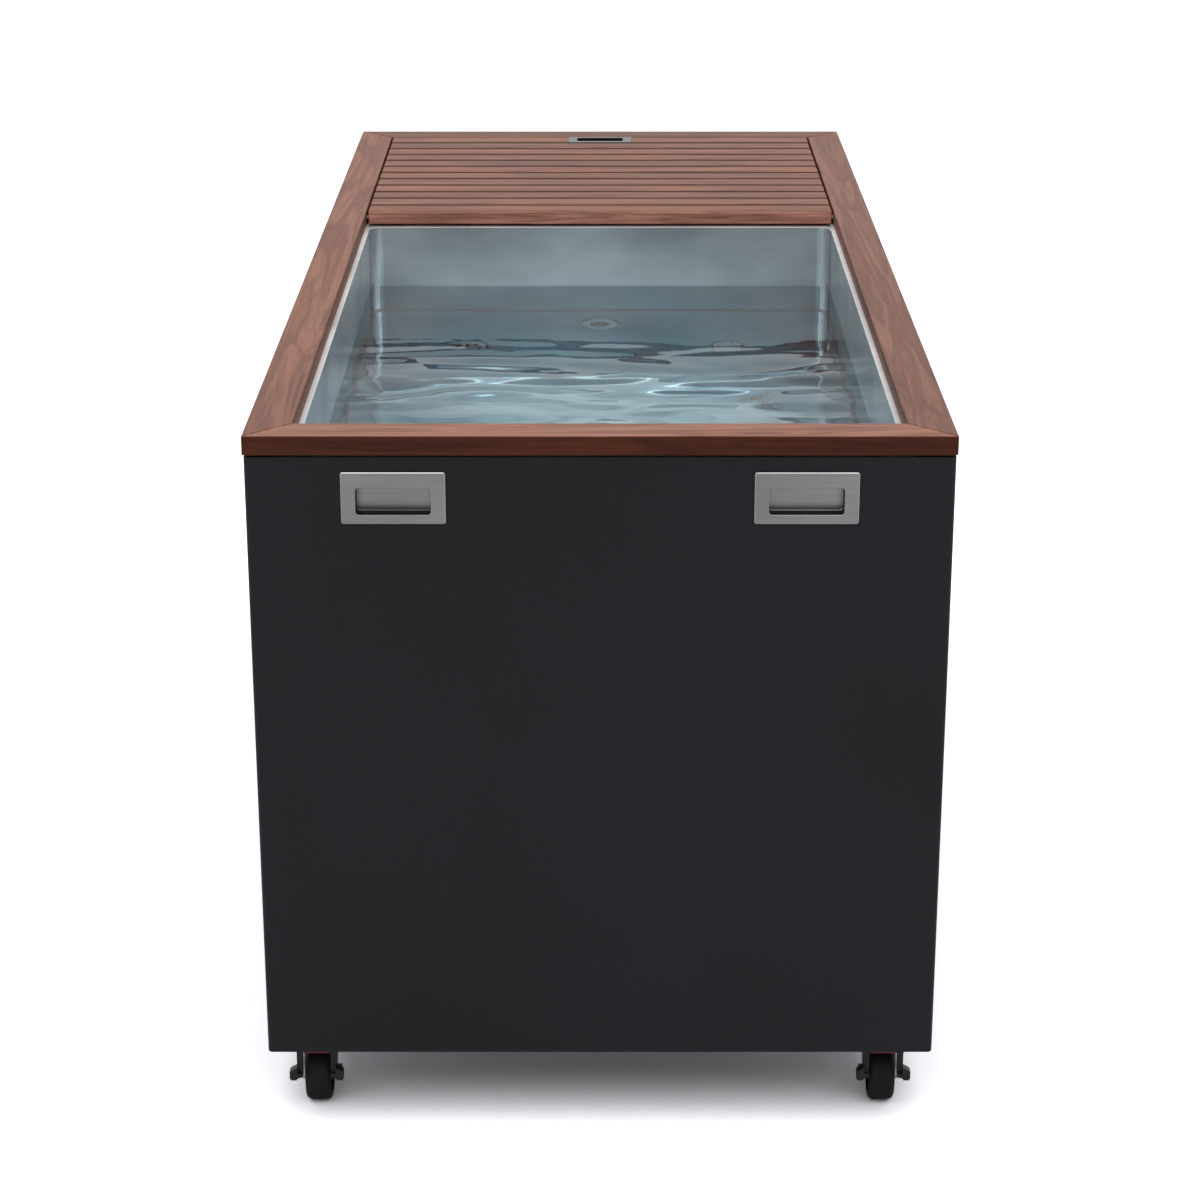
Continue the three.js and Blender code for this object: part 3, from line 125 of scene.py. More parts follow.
class Finish:
    # one material, or the world, made node by node
    def __init__(self, name, tree=None):
        if tree is None:
            self.material = bpy.data.materials.new(name)
            self.material.use_nodes = True
            tree = self.material.node_tree
        self.tree = tree
        self.tree.nodes.clear()
        self.place = None

    def node(self, kind, settings={}, sockets={}, output=0):
        made = self.tree.nodes.new(kind)
        for key, value in settings.items():
            if key == "stops":
                ramp = made.color_ramp
                while len(ramp.elements) < len(value):
                    ramp.elements.new(1.0)
                for stop, (at, colour) in zip(ramp.elements, value):
                    stop.position = at
                    stop.color = (*colour, 1.0)
            else:
                setattr(made, key, value)
        for key, value in sockets.items():
            if isinstance(value, Value):
                self.tree.links.new(value.socket, made.inputs[key])
            else:
                made.inputs[key].default_value = value
        return Value(self, made.outputs[output]) if made.outputs else None

    def mapped(self, stretch=(1, 1, 1), shift=(0, 0, 0)):
        if self.place is None:
            self.place = self.node("ShaderNodeTexCoord", output="Object")
        sockets = {"Vector": self.place, "Scale": stretch, "Location": shift}
        return self.node("ShaderNodeMapping", {}, sockets)

    def grain(self, scale, detail=3.0, stretch=(1, 1, 1), shift=(0, 0, 0), twist=0.0):
        return self.node("ShaderNodeTexNoise", {}, {
            "Vector": self.mapped(stretch, shift), "Scale": scale, "Detail": detail, "Distortion": twist})

    def cells(self, scale, output="Distance"):
        sockets = {"Vector": self.mapped(), "Scale": scale}
        return self.node("ShaderNodeTexVoronoi", {}, sockets, output)

    def height(self):
        return self.node("ShaderNodeSeparateXYZ", {}, {"Vector": self.mapped()}, "Z")

    def between(self, value, span):
        # 0 below the span's start and 1 above its end
        low, high = span
        return self.node("ShaderNodeMapRange", {}, {"Value": value, "From Min": low, "From Max": high})

    def ramp(self, factor, stops):
        return self.node("ShaderNodeValToRGB", {"stops": stops}, {"Fac": factor})

    def fade(self, factor, span, tones):
        # from the first tone at the span's start to the second at its end
        return self.ramp(factor, list(zip(span, tones)))

    def blend(self, factor, first, second, way="MIX"):
        settings = {"data_type": "RGBA", "blend_type": way}
        return self.node("ShaderNodeMix", settings, {0: factor, 6: first, 7: second}, 2)

    def bump(self, height, strength, distance):
        return self.node("ShaderNodeBump", {}, {
            "Height": height, "Strength": strength, "Distance": distance})

    def seenRays(self, words=("Is Camera Ray", "Is Glossy Ray", "Is Transmission Ray")):
        # 1 for what the camera sees straight, in metal and through water
        path = self.tree.nodes.new("ShaderNodeLightPath")
        rays = Value(self, path.outputs[words[0]])
        for word in words[1:]:
            rays = rays + Value(self, path.outputs[word])
        return rays.maths("MINIMUM", rays, 1.0)

    def surface(self, **sockets):
        named = {key.replace("_", " "): value for key, value in sockets.items()}
        shader = self.node("ShaderNodeBsdfPrincipled", {}, named)
        self.node("ShaderNodeOutputMaterial", {}, {"Surface": shader})
        return self.material


def paint(r, g, b):
    return (r, g, b, 1.0)


def setWorld():
    world = bpy.data.worlds.new("whiteStudio")
    bpy.context.scene.world = world
    world.use_nodes = True
    sky = Finish("sky", world.node_tree)
    white = paint(1, 1, 1)
    soft = sky.node("ShaderNodeBackground", {}, {"Color": white, "Strength": studio["skyForObject"]})
    seen = sky.node("ShaderNodeBackground", {}, {"Color": white, "Strength": studio["skySeen"]})
    mixed = sky.node("ShaderNodeMixShader", {}, {0: sky.seenRays(), 1: soft, 2: seen})
    sky.node("ShaderNodeOutputWorld", {}, {"Surface": mixed})


def setFloor():
    clearSelection()
    bpy.ops.mesh.primitive_plane_add(size=studio["floorSize"])
    floor = bpy.context.object
    floor.name = "studioFloor"
    finish = Finish("studioFloor")
    bounced, inMetal = paint(*studio["floorBounce"]), paint(*studio["floorInMetal"])
    colour = finish.blend(finish.seenRays(), bounced, inMetal)
    colour = finish.blend(finish.seenRays(("Is Camera Ray",)), colour, paint(*studio["floorSeen"]))
    diffuse = finish.node("ShaderNodeBsdfDiffuse", {}, {"Color": colour})
    finish.node("ShaderNodeOutputMaterial", {}, {"Surface": diffuse})
    floor.data.materials.append(finish.material)


setWorld()
setFloor()
print("studio set")


# finishes, each with its plan: scales are repeats per metre, depths are metres
def shades(tone, darker, lighter):
    return [tuple(c * darker for c in tone), tuple(min(1.0, c * lighter) for c in tone)]


woodPlan = {
    "figure": (2.0, 34.0), "fibre": (14.0, 420.0), "pore": (60.0, 1500.0),  # along the board, then across it
    "drift": 3.2, "twist": 1.4, "ringLines": 9.0, "seedShift": (1.37, 0.73, 0.41),
    "toneSwing": 0.09, "toneRate": 2.4, "warmSwing": 0.05, "warmRate": 4.1,
    "ringShare": 0.36, "lineShare": 0.21, "fibreShare": 0.42, "driftShare": 0.14, "offset": 0.06,
    "tones": [(0.32, (0.120, 0.041, 0.023)), (0.44, (0.190, 0.069, 0.040)),
              (0.56, (0.245, 0.096, 0.057)), (0.70, (0.320, 0.138, 0.087))],
    "poreTones": [(0.30, (0.55, 0.5, 0.48)), (0.40, (1, 1, 1))], "poreShade": 0.75,
    "fibreHeight": 0.7, "poreHeight": 0.5, "bump": 0.16, "bumpDepth": 0.0006,
    "rough": 0.36, "fibreRough": 0.22, "gloss": 0.2,
}


def hardwood(name, along, seed, depth=1.0, warmth=1.0):
    # along is 0 for boards that run across the tub and 1 for those that run with it
    plan = woodPlan
    wood = Finish(name)
    shift = tuple(seed * step for step in plan["seedShift"])

    def drawnOut(key, detail, twist=0.0):
        run, across = plan[key]
        stretch = [across, across, across]
        stretch[along] = run
        return wood.grain(1.0, detail, stretch, shift, twist)

    rings = drawnOut("figure", 4.0, plan["twist"])
    fibres = drawnOut("fibre", 4.0)
    pores = drawnOut("pore", 2.0)
    drift = wood.grain(plan["drift"], 2.0, shift=shift)
    lines = rings.maths("PINGPONG", rings * plan["ringLines"], 1.0)
    mixture = rings * plan["ringShare"] + lines * plan["lineShare"]
    mixture = mixture + fibres * plan["fibreShare"] + drift * plan["driftShare"] - plan["offset"]
    tone = depth * (1.0 + plan["toneSwing"] * math.sin(seed * plan["toneRate"]))
    warm = warmth + plan["warmSwing"] * math.sin(seed * plan["warmRate"])
    tones = [(at, (r * tone * warm, g * tone, b * tone / warm)) for at, (r, g, b) in plan["tones"]]
    poreColour = wood.ramp(pores, plan["poreTones"])
    colour = wood.blend(plan["poreShade"], wood.ramp(mixture, tones), poreColour, "MULTIPLY")
    height = fibres * plan["fibreHeight"] + pores * plan["poreHeight"]
    return wood.surface(
        Base_Color=colour, Roughness=plan["rough"] + fibres * plan["fibreRough"],
        Specular_IOR_Level=plan["gloss"], Normal=wood.bump(height, plan["bump"], plan["bumpDepth"]))


steelPlan = {"scratches": 1400.0, "scratchRun": 9.0, "cloud": 7.0, "span": (0.32, 0.68), "darker": 0.80,
             "lighter": 1.22, "scratchRough": 0.14, "cloudRough": 0.06, "bump": 0.2, "bumpDepth": 0.0003}


def brushedSteel(name, tone, along, rough=0.27, scratch=0.5):
    # fine parallel scratches along one axis, with a faint slow cloud under them
    plan = steelPlan
    steel = Finish(name)
    stretch = [plan["scratches"]] * 3
    stretch[along] = plan["scratchRun"]
    scratches = steel.grain(1.0, stretch=stretch)
    cloud = steel.grain(plan["cloud"])
    level = scratches * scratch + cloud * (1.0 - scratch)
    roughness = rough - plan["cloudRough"] + scratches * plan["scratchRough"] + cloud * plan["cloudRough"]
    return steel.surface(
        Base_Color=steel.fade(level, plan["span"], shades(tone, plan["darker"], plan["lighter"])),
        Metallic=1.0, Roughness=roughness,
        Normal=steel.bump(scratches, plan["bump"] * scratch, plan["bumpDepth"]))


basinPlan = {
    "cloud": 4.5, "cloudStretch": (1, 1, 1.6), "scratches": (9.0, 1400.0, 1400.0), "cloudShare": 0.86,
    # the floor's mottle is painted caustic light
    "scratchShare": 0.14, "paintedCaustics": 4.5, "causticStretch": (0.9, 2.4, 1.0), "causticTwist": 0.8,
    "span": (0.34, 0.66), "dry": [(0.41, 0.422, 0.437), (0.725, 0.737, 0.748)],
    # walls under water: dark teal, painted shade and water tint
    "shadedWall": [(0.015, 0.100, 0.132), (0.045, 0.195, 0.245)],
    # low on the walls under water: lighter teal, painted light
    "litLowWall": [(0.050, 0.180, 0.230), (0.105, 0.320, 0.390)],
    # floor under water: pale, painted caustic light
    "floorSpan": (0.36, 0.62), "floor": [(0.30, 0.46, 0.54), (0.93, 1.0, 1.0)],
    "waterLine": (0.762, 0.772), "lowWallTop": (0.34, 0.54), "floorEdge": (0.2655, 0.279),  # levels
    "floorMetal": 0.45, "wallMetal": 0.55, "rough": 0.26, "cloudRough": 0.14, "bump": 0.03,
    "bumpDepth": 0.0003,
}


def basinSteel(name):
    # satin sheet: grey where it is dry; under the waterline dark teal walls of painted shade and water tint,
    # painted light low on the walls, and a pale floor of painted caustic light, partly matt
    plan = basinPlan
    steel = Finish(name)
    cloud = steel.grain(plan["cloud"], stretch=plan["cloudStretch"])
    scratches = steel.grain(1.0, stretch=plan["scratches"])
    paintedCaustics = steel.grain(plan["paintedCaustics"], 2.0, plan["causticStretch"], twist=plan["causticTwist"])
    level = cloud * plan["cloudShare"] + scratches * plan["scratchShare"]
    dry, shadedWall, litLowWall = (steel.fade(level, plan["span"], plan[key]) for key in ("dry", "shadedWall", "litLowWall"))
    litSole = steel.fade(paintedCaustics, plan["floorSpan"], plan["floor"])
    height = steel.height()
    above = steel.between(height, plan["waterLine"])
    rising = steel.between(height, plan["lowWallTop"])
    offFloor = steel.between(height, plan["floorEdge"])
    underWater = steel.blend(offFloor, litSole, steel.blend(rising, litLowWall, shadedWall))
    return steel.surface(
        Base_Color=steel.blend(above, underWater, dry), Metallic=plan["floorMetal"] + offFloor * plan["wallMetal"],
        Roughness=plan["rough"] + cloud * plan["cloudRough"],
        Normal=steel.bump(scratches, plan["bump"], plan["bumpDepth"]))


coatPlan = {"cloud": 2.6, "pebble": 900.0, "speck": 2600.0, "cloudShare": 0.75, "speckShare": 0.25,
            "span": (0.3, 0.7), "darker": 0.82, "lighter": 1.2, "pebbleRough": 0.1, "gloss": 0.2,
            "bump": 0.10, "bumpDepth": 0.0004}


def powderCoat(name, tone, rough):
    # orange-peel coat with a slow change of tone
    plan = coatPlan
    coat = Finish(name)
    pebble = coat.grain(plan["pebble"], 2.0)
    level = coat.grain(plan["cloud"]) * plan["cloudShare"]
    level = level + coat.grain(plan["speck"], 1.0) * plan["speckShare"]
    return coat.surface(
        Base_Color=coat.fade(level, plan["span"], shades(tone, plan["darker"], plan["lighter"])),
        Roughness=rough - plan["pebbleRough"] / 2 + pebble * plan["pebbleRough"],
        Specular_IOR_Level=plan["gloss"], Normal=coat.bump(pebble, plan["bump"], plan["bumpDepth"]))


plasticPlan = {"spark": 1400.0, "cloud": 14.0, "span": (0.3, 0.7), "darker": 0.86, "lighter": 1.1,
               "sparkRough": 0.12, "bumpDepth": 0.0003}


def mouldedPlastic(name, tone, rough=0.45, texture=0.12, gloss=0.5):
    plan = plasticPlan
    plastic = Finish(name)
    spark = plastic.grain(plan["spark"], 2.0)
    cloud = plastic.grain(plan["cloud"])
    return plastic.surface(
        Base_Color=plastic.fade(cloud, plan["span"], shades(tone, plan["darker"], plan["lighter"])),
        Roughness=rough - plan["sparkRough"] / 2 + spark * plan["sparkRough"],
        Specular_IOR_Level=gloss, Normal=plastic.bump(spark, texture, plan["bumpDepth"]))


platePlan = {"cloud": 60.0, "cloudShare": 0.45, "patchShare": 0.55, "span": (0.25, 0.75), "darker": 0.78,
             "lighter": 1.18, "cloudRough": 0.18, "bump": 0.05, "bumpDepth": 0.0003}


def platedSteel(name, tone, rough=0.3, spangle=0.0):
    # zinc: passivated cloud, and with spangle the crystal patches of hot-dip sheet
    plan = platePlan
    plate = Finish(name)
    cloud = plate.grain(plan["cloud"], 4.0)
    if spangle:
        patch = plate.node("ShaderNodeSeparateColor", {}, {"Color": plate.cells(spangle, "Color")})
        cloud = cloud * plan["cloudShare"] + patch * plan["patchShare"]
    return plate.surface(
        Base_Color=plate.fade(cloud, plan["span"], shades(tone, plan["darker"], plan["lighter"])),
        Metallic=1.0, Roughness=rough + cloud * plan["cloudRough"],
        Normal=plate.bump(cloud, plan["bump"], plan["bumpDepth"]))


rubberPlan = {"dust": 70.0, "skin": 1200.0, "span": (0.4, 0.75), "rough": 0.58, "dustRough": 0.2,
              "tones": [(0.006, 0.006, 0.006), (0.018, 0.0175, 0.017)], "gloss": 0.2, "bump": 0.2,
              "bumpDepth": 0.0003}


def rubber(name):
    plan = rubberPlan
    tyre = Finish(name)
    dust = tyre.grain(plan["dust"], 4.0)
    skin = tyre.grain(plan["skin"], 2.0)
    return tyre.surface(
        Base_Color=tyre.fade(dust, plan["span"], plan["tones"]),
        Roughness=plan["rough"] + dust * plan["dustRough"], Specular_IOR_Level=plan["gloss"],
        Normal=tyre.bump(skin, plan["bump"], plan["bumpDepth"]))


foamPlan = {"cells": 420.0, "cloud": 9.0, "span": (0.3, 0.7), "rough": 0.85, "cloudRough": 0.1,
            "tones": [(0.58, 0.5, 0.3), (0.72, 0.65, 0.44)], "bump": 0.4, "bumpDepth": 0.0008}


def closedFoam(name):
    plan = foamPlan
    foam = Finish(name)
    cloud = foam.grain(plan["cloud"])
    return foam.surface(
        Base_Color=foam.fade(cloud, plan["span"], plan["tones"]),
        Roughness=plan["rough"] + cloud * plan["cloudRough"],
        Normal=foam.bump(foam.cells(plan["cells"]), plan["bump"], plan["bumpDepth"]))


waterLook = {"tint": (0.60, 0.86, 0.95), "rough": 0.012, "refraction": 1.333, "ripple": 26.0, "bump": 0.05,
             "bumpDepth": 0.004}


def waterFinish(name):
    look = waterLook
    water = Finish(name)
    ripple = water.grain(look["ripple"], 2.0)
    return water.surface(
        Base_Color=paint(*look["tint"]), Roughness=look["rough"], IOR=look["refraction"],
        Transmission_Weight=1.0, Normal=water.bump(ripple, look["bump"], look["bumpDepth"]))


# brushed steel: tone, axis of the scratches, then roughness and share of the scratches
# plastic: tone, roughness, texture and gloss; plated steel: tone, roughness and spangle
finishes = {
    "charcoal_coat": powderCoat("charcoalCoat", (0.0120, 0.0128, 0.0158), 0.5),
    "stainless": brushedSteel("brushedStainless", (0.225, 0.227, 0.233), 0),
    "basin": basinSteel("satinBasinSteel"),
    "dark_steel": brushedSteel("darkBrushedSteel", (0.105, 0.108, 0.112), 0),
    "fitting": brushedSteel("turnedFitting", (0.21, 0.275, 0.305), 1, 0.2, 0.3),
    "painted_groove_shade": brushedSteel("paintedGrooveShade", (0.016, 0.066, 0.084), 1, 0.3, 0.3),
    "handle_lip_highlight": brushedSteel("paintedLipHighlight", (0.40, 0.402, 0.408), 0, 0.26, 0.1),
    "rolled_rim": brushedSteel("rolledRim", (0.92, 0.92, 0.93), 1, 0.46, 0.1),
    "polished": brushedSteel("polishedSteelEdge", (0.78, 0.79, 0.8), 2, 0.22, 0.1),
    "galvanised": platedSteel("galvanisedSheet", (0.42, 0.43, 0.44), 0.36, 55.0),
    "zinc_plate": platedSteel("zincPlate", (0.48, 0.485, 0.49), 0.26),
    "aluminium": brushedSteel("satinAluminium", (0.55, 0.555, 0.56), 2, 0.34),
    "foam": closedFoam("insulatingFoam"),
    "wheel_rubber": rubber("wheelRubber"),
    "black_plastic": mouldedPlastic("blackMoulding", (0.014, 0.014, 0.0145)),
    "pale_plastic": mouldedPlastic("paleMoulding", (0.62, 0.63, 0.63), 0.4),
    "black_paint": mouldedPlastic("blackEnamel", (0.010, 0.0095, 0.009), 0.42, 0.05, 0.3),
    "hose": mouldedPlastic("waterHose", (0.5, 0.55, 0.55), 0.35, 0.05),
    "brass": platedSteel("castBrass", (0.5, 0.36, 0.15), 0.3),
    "hub_grey": mouldedPlastic("hubMoulding", (0.09, 0.09, 0.092), 0.42),
    "brake_red": mouldedPlastic("redBrakePad", (0.24, 0.010, 0.009), 0.4),
    "pocket_black_and_shade": mouldedPlastic("blackPocketAndPaintedShade", (0.005, 0.005, 0.005), 0.6, 0.12, 0.1),
    "water": waterFinish("coldWater"),
}
print("finishes made:", len(finishes))


# pieces that keep their CAD shape, with softened edges
edges = {"panel": 0.0010, "board": 0.0016, "metal": 0.0005, "cast": 0.0009, "smoothAngle": 36.0,
         "hoseAngle": 50.0, "sameSpot": 0.00001, "sameFace": 0.6, "flatWeight": 90}


def makeActive(piece):
    clearSelection()
    piece.select_set(True)
    bpy.context.view_layer.objects.active = piece


def bevelEdges(piece, width, segments, angle=edges["smoothAngle"]):
    makeActive(piece)
    rounding = piece.modifiers.new("softEdge", "BEVEL")
    rounding.width = width
    rounding.segments = segments
    rounding.limit_method = "ANGLE"
    rounding.angle_limit = math.radians(angle)
    rounding.miter_outer = "MITER_ARC"
    bpy.ops.object.modifier_apply(modifier=rounding.name)
    bpy.ops.object.shade_smooth_by_angle(angle=math.radians(angle))
    flatten = piece.modifiers.new("flatFaces", "WEIGHTED_NORMAL")
    flatten.keep_sharp = True
    flatten.weight = edges["flatWeight"]
    bpy.ops.object.modifier_apply(modifier=flatten.name)


def settle(piece, finish, body):
    piece.data.materials.clear()
    piece.data.materials.append(finish)
    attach(piece, body)


def softCopy(node, finish, width, segments=2, angle=edges["smoothAngle"]):
    source = nodes[node]
    piece = bpy.data.objects.new(node + "_finished", source.data.copy())
    bpy.context.scene.collection.objects.link(piece)
    makeActive(piece)
    bpy.ops.object.mode_set(mode="EDIT")
    bpy.ops.mesh.select_all(action="SELECT")
    bpy.ops.mesh.customdata_custom_splitnormals_clear()
    bpy.ops.mesh.remove_doubles(threshold=edges["sameSpot"])
    bpy.ops.mesh.dissolve_limited(angle_limit=math.radians(edges["sameFace"]))
    bpy.ops.object.mode_set(mode="OBJECT")
    bevelEdges(piece, width, segments, angle)
    settle(piece, finish, source["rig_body"])
    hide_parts(node)
    return piece


def paintFaces(piece, finish, chosen):
    # another finish on the faces that chosen says yes to
    piece.data.materials.append(finish)
    for face in piece.data.polygons:
        if chosen(face):
            face.material_index = len(piece.data.materials) - 1


for word in ("front", "rear", "left", "right"):
    softCopy(word + "_panel", finishes["charcoal_coat"], edges["panel"])

boardPlan = {
    "rails": [("front_rail", 0), ("rear_rail", 0), ("left_rail", 1), ("right_rail", 1)], "slats": 12,
    # board: name of its upright faces' finish, depth of tone on top, then depth and warmth of those faces,
    # which carry painted light and shade
    # front rail: top painted lighter as painted light, front face painted darker as painted shade; rear rail:
    # top painted darker as painted shade
    "planed": {"front_rail": ("oiledFrontFace", 1.35, 0.22, 1.65), "rear_rail": ("rearFace", 0.72, 1.0, 1.0),
               # first slat: front face painted lighter as painted light
               "slat_01": ("planedFrontFace", 1.0, 2.95, 0.78)},
    "paintedFaceTilt": 0.6, "edgeTilt": 0.45, "edgeSeed": 30, "gapShadeDepth": 0.22,
}
boards = boardPlan["rails"] + [(f"slat_{count:02d}", 0) for count in range(1, boardPlan["slats"] + 1)]
# the slats' upright faces are painted darker: painted shade in the gaps between slats
slatGapShade = hardwood("oiledSlatEdge", 0, boardPlan["edgeSeed"], boardPlan["gapShadeDepth"])
for seed, (node, along) in enumerate(boards, start=1):
    faceName, topDepth, faceDepth, faceWarmth = boardPlan["planed"].get(node, ("", 1.0, 1.0, 1.0))
    board = softCopy(node, hardwood(node + "_hardwood", along, seed, topDepth), edges["board"], 3)
    if faceName:
        planed = hardwood(faceName, along, seed, faceDepth, faceWarmth)
        paintFaces(board, planed, lambda face: abs(face.normal.y) > boardPlan["paintedFaceTilt"])
    elif node.startswith("slat"):
        paintFaces(board, slatGapShade, lambda face: abs(face.normal.y) > boardPlan["edgeTilt"])
print("panels and boards softened")

# the fittings' flat rings face the basin, and their other faces are painted dark teal as painted shade in the
# grooves
fittingPlan = {"ringTilt": -0.8}
for node in ("return_fitting", "left_suction_fitting", "right_suction_fitting"):
    fitting = softCopy(node, finishes["fitting"], edges["metal"])
    paintFaces(fitting, finishes["painted_groove_shade"], lambda face: face.normal.y >= fittingPlan["ringTilt"])

# cup handles: lips painted lighter as painted highlight, with the ledge and sides in the pocket painted black
# as painted shade
handlePlan = {"lipDepth": 0.0030, "lipTilt": (0.15, 0.95), "pocketBack": 0.0176, "fillet": 0.0002,
              "filletTilt": 0.2, "ledgeTilt": 0.5, "sideTilt": 0.6}


def inPocket(face, depth):
    plan = handlePlan
    turned = face.normal.z > plan["ledgeTilt"] or abs(face.normal.x) > plan["sideTilt"]
    return depth > plan["lipDepth"] and turned


def onLip(face, depth):
    # the chamfers of the plate, and the fillet where the ledge meets the back of the pocket, painted lighter
    # as painted highlight
    plan = handlePlan
    chamfer = depth < plan["lipDepth"] and plan["lipTilt"][0] < -face.normal.y < plan["lipTilt"][1]
    atBack = depth > plan["pocketBack"] - plan["fillet"]
    return chamfer or (atBack and min(face.normal.z, -face.normal.y) > plan["filletTilt"])


for node in ("left_handle", "right_handle"):
    handle = softCopy(node, finishes["stainless"], edges["cast"], 3)
    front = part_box(node)[0].y
    paintFaces(handle, finishes["pocket_black_and_shade"], lambda face: inPocket(face, face.center.y - front))
    paintFaces(handle, finishes["handle_lip_highlight"], lambda face: onLip(face, face.center.y - front))

# the basin's upright corners are polished, its rim is rolled and its welded seam is painted dark teal as
# painted shade
rimPlan = {"height": 0.0012, "seam": (0.6215, 0.6335), "seamTilt": 0.2, "cornerTilt": 0.1, "cornerTurn": 0.45}
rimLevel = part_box("basin")[1].z - rimPlan["height"]
seamLow, seamHigh = rimPlan["seam"]


def onCorner(face):
    turn = min(abs(face.normal.x), abs(face.normal.y))
    return abs(face.normal.z) < rimPlan["cornerTilt"] and turn > rimPlan["cornerTurn"]


def onSeam(face):
    return seamLow < face.center.z < seamHigh and abs(face.normal.z) > rimPlan["seamTilt"]


basin = softCopy("basin", finishes["basin"], edges["metal"])
paintFaces(basin, finishes["polished"], onCorner)
paintFaces(basin, finishes["rolled_rim"], lambda face: face.center.z > rimLevel)
paintFaces(basin, finishes["painted_groove_shade"], onSeam)

for node in nodes:
    if node.endswith(("_fork", "_caster_plate")):
        softCopy(node, finishes["zinc_plate"], edges["metal"])
    if node.endswith("_brake_pedal"):
        softCopy(node, finishes["black_paint"], edges["cast"], 3)
for node in ("compressor", "circulation_pump", "filter_canister", "heat_exchanger", "control_box",
             "fan_shroud", "fan_rotor", "power_inlet", "drain_lever"):
    softCopy(node, finishes[slotOf[node]], edges["cast"])

# the drain is brass, with a steel flange in the basin's floor
drainPlan = {"flangeFrom": 0.25}
drain = softCopy("drain_valve", finishes[slotOf["drain_valve"]], edges["cast"])
paintFaces(drain, finishes["polished"], lambda face: face.center.z > drainPlan["flangeFrom"])

for node in ("left_strap", "right_strap"):
    softCopy(node, finishes["dark_steel"], edges["cast"])
for node in ("suction_hose", "return_hose"):
    softCopy(node, finishes["hose"], edges["metal"], 1, edges["hoseAngle"])
print("metal and moulded pieces softened")

# the lid's pull: a dark plate round a black pocket
pullPlan = {"halfWidth": 0.0388, "halfLength": 0.0137, "plate": 0.0011, "underTilt": -0.5}
pull = softCopy("lid_pull", finishes["dark_steel"], edges["metal"])
pullLow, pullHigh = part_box("lid_pull")


def inPull(face):
    plan = pullPlan
    fromMiddle = abs(face.center.y - (pullLow.y + pullHigh.y) / 2)
    inside = abs(face.center.x) < plan["halfWidth"] and fromMiddle < plan["halfLength"]
    return inside and pullHigh.z - face.center.z > plan["plate"] and face.normal.z > plan["underTilt"]


paintFaces(pull, finishes["pocket_black_and_shade"], inPull)

for node in ("chassis", "basin_insulation", "condenser", "left_pivot_pin", "right_pivot_pin"):
    nodes[node].data.materials.clear()
    nodes[node].data.materials.append(finishes["dark_steel" if "pin" in node else slotOf[node]])


# wheels: a tyre with its hub, turned from a cylinder
wheelPlan = {"sides": 64, "halfWidth": 0.016, "rim": 0.027, "recess": 0.005, "hub": 0.012, "hubOut": 0.0066,
             "cap": 0.0075, "capStep": 0.0012, "bore": 0.0043, "shoulder": 0.0065, "shoulderSteps": 5,
             "offFloor": 0.0003, "edge": 0.0006, "edgeAngle": 50.0, "rimMargin": 0.0002,
             "onAxle": 0.001, "sameLevel": 0.00001, "onTread": 0.0001}
casters = [f"{end}_{side}" for end in ("front", "rear") for side in ("left", "right")]
frontCasters = [caster for caster in casters if caster.startswith("front")]


def fromAxle(spot, centre):
    return math.hypot(spot.y - centre.y, spot.z - centre.z)


def pickCap(made, centre, levels):
    # selects the round face that is centred on the axle at each level
    mesh = bmesh.from_edit_mesh(made.data)
    for face in mesh.faces:
        spot = face.calc_center_median()
        atLevel = any(abs(spot.x - level) < wheelPlan["sameLevel"] for level in levels)
        face.select_set(atLevel and fromAxle(spot, centre) < wheelPlan["onAxle"])
    bmesh.update_edit_mesh(made.data)


def roundShoulders(made, centre, radius):
    plan = wheelPlan

    def onShoulder(spot):
        atSide = abs(abs(spot.x - centre.x) - plan["halfWidth"]) < plan["sameLevel"]
        return atSide and fromAxle(spot, centre) > radius - plan["onTread"]

    mesh = bmesh.new()
    mesh.from_mesh(made.data)
    shoulders = [edge for edge in mesh.edges if all(onShoulder(vertex.co) for vertex in edge.verts)]
    bmesh.ops.bevel(
        mesh, geom=shoulders, offset=plan["shoulder"], segments=plan["shoulderSteps"], profile=0.5,
        affect="EDGES")
    mesh.to_mesh(made.data)
    mesh.free()


def modelWheel(centre, radius):
    plan = wheelPlan
    clearSelection()
    bpy.ops.mesh.primitive_cylinder_add(
        vertices=plan["sides"], radius=radius, depth=2 * plan["halfWidth"], location=centre,
        rotation=(0, math.pi / 2, 0))
    made = bpy.context.object
    bpy.ops.object.transform_apply(location=True, rotation=True, scale=True)
    bpy.ops.object.mode_set(mode="EDIT")
    bpy.ops.mesh.select_mode(type="FACE")
    steps = [(radius - plan["rim"], -plan["recess"]), (plan["rim"] - plan["hub"], plan["hubOut"]),
             (plan["hub"] - plan["cap"], -plan["capStep"])]
    for side in (-1, 1):
        reach = plan["halfWidth"]
        for margin, rise in steps:
            pickCap(made, centre, [centre.x + side * reach])
            bpy.ops.mesh.inset(thickness=margin)
            bpy.ops.mesh.extrude_region_move(TRANSFORM_OT_translate={"value": (side * rise, 0, 0)})
            reach += rise
        pickCap(made, centre, [centre.x + side * reach])
        bpy.ops.mesh.inset(thickness=plan["cap"] - plan["bore"])
    pickCap(made, centre, [centre.x - reach, centre.x + reach])
    bpy.ops.mesh.bridge_edge_loops()
    bpy.ops.object.mode_set(mode="OBJECT")
    roundShoulders(made, centre, radius)
    bevelEdges(made, plan["edge"], 2, plan["edgeAngle"])
    return made


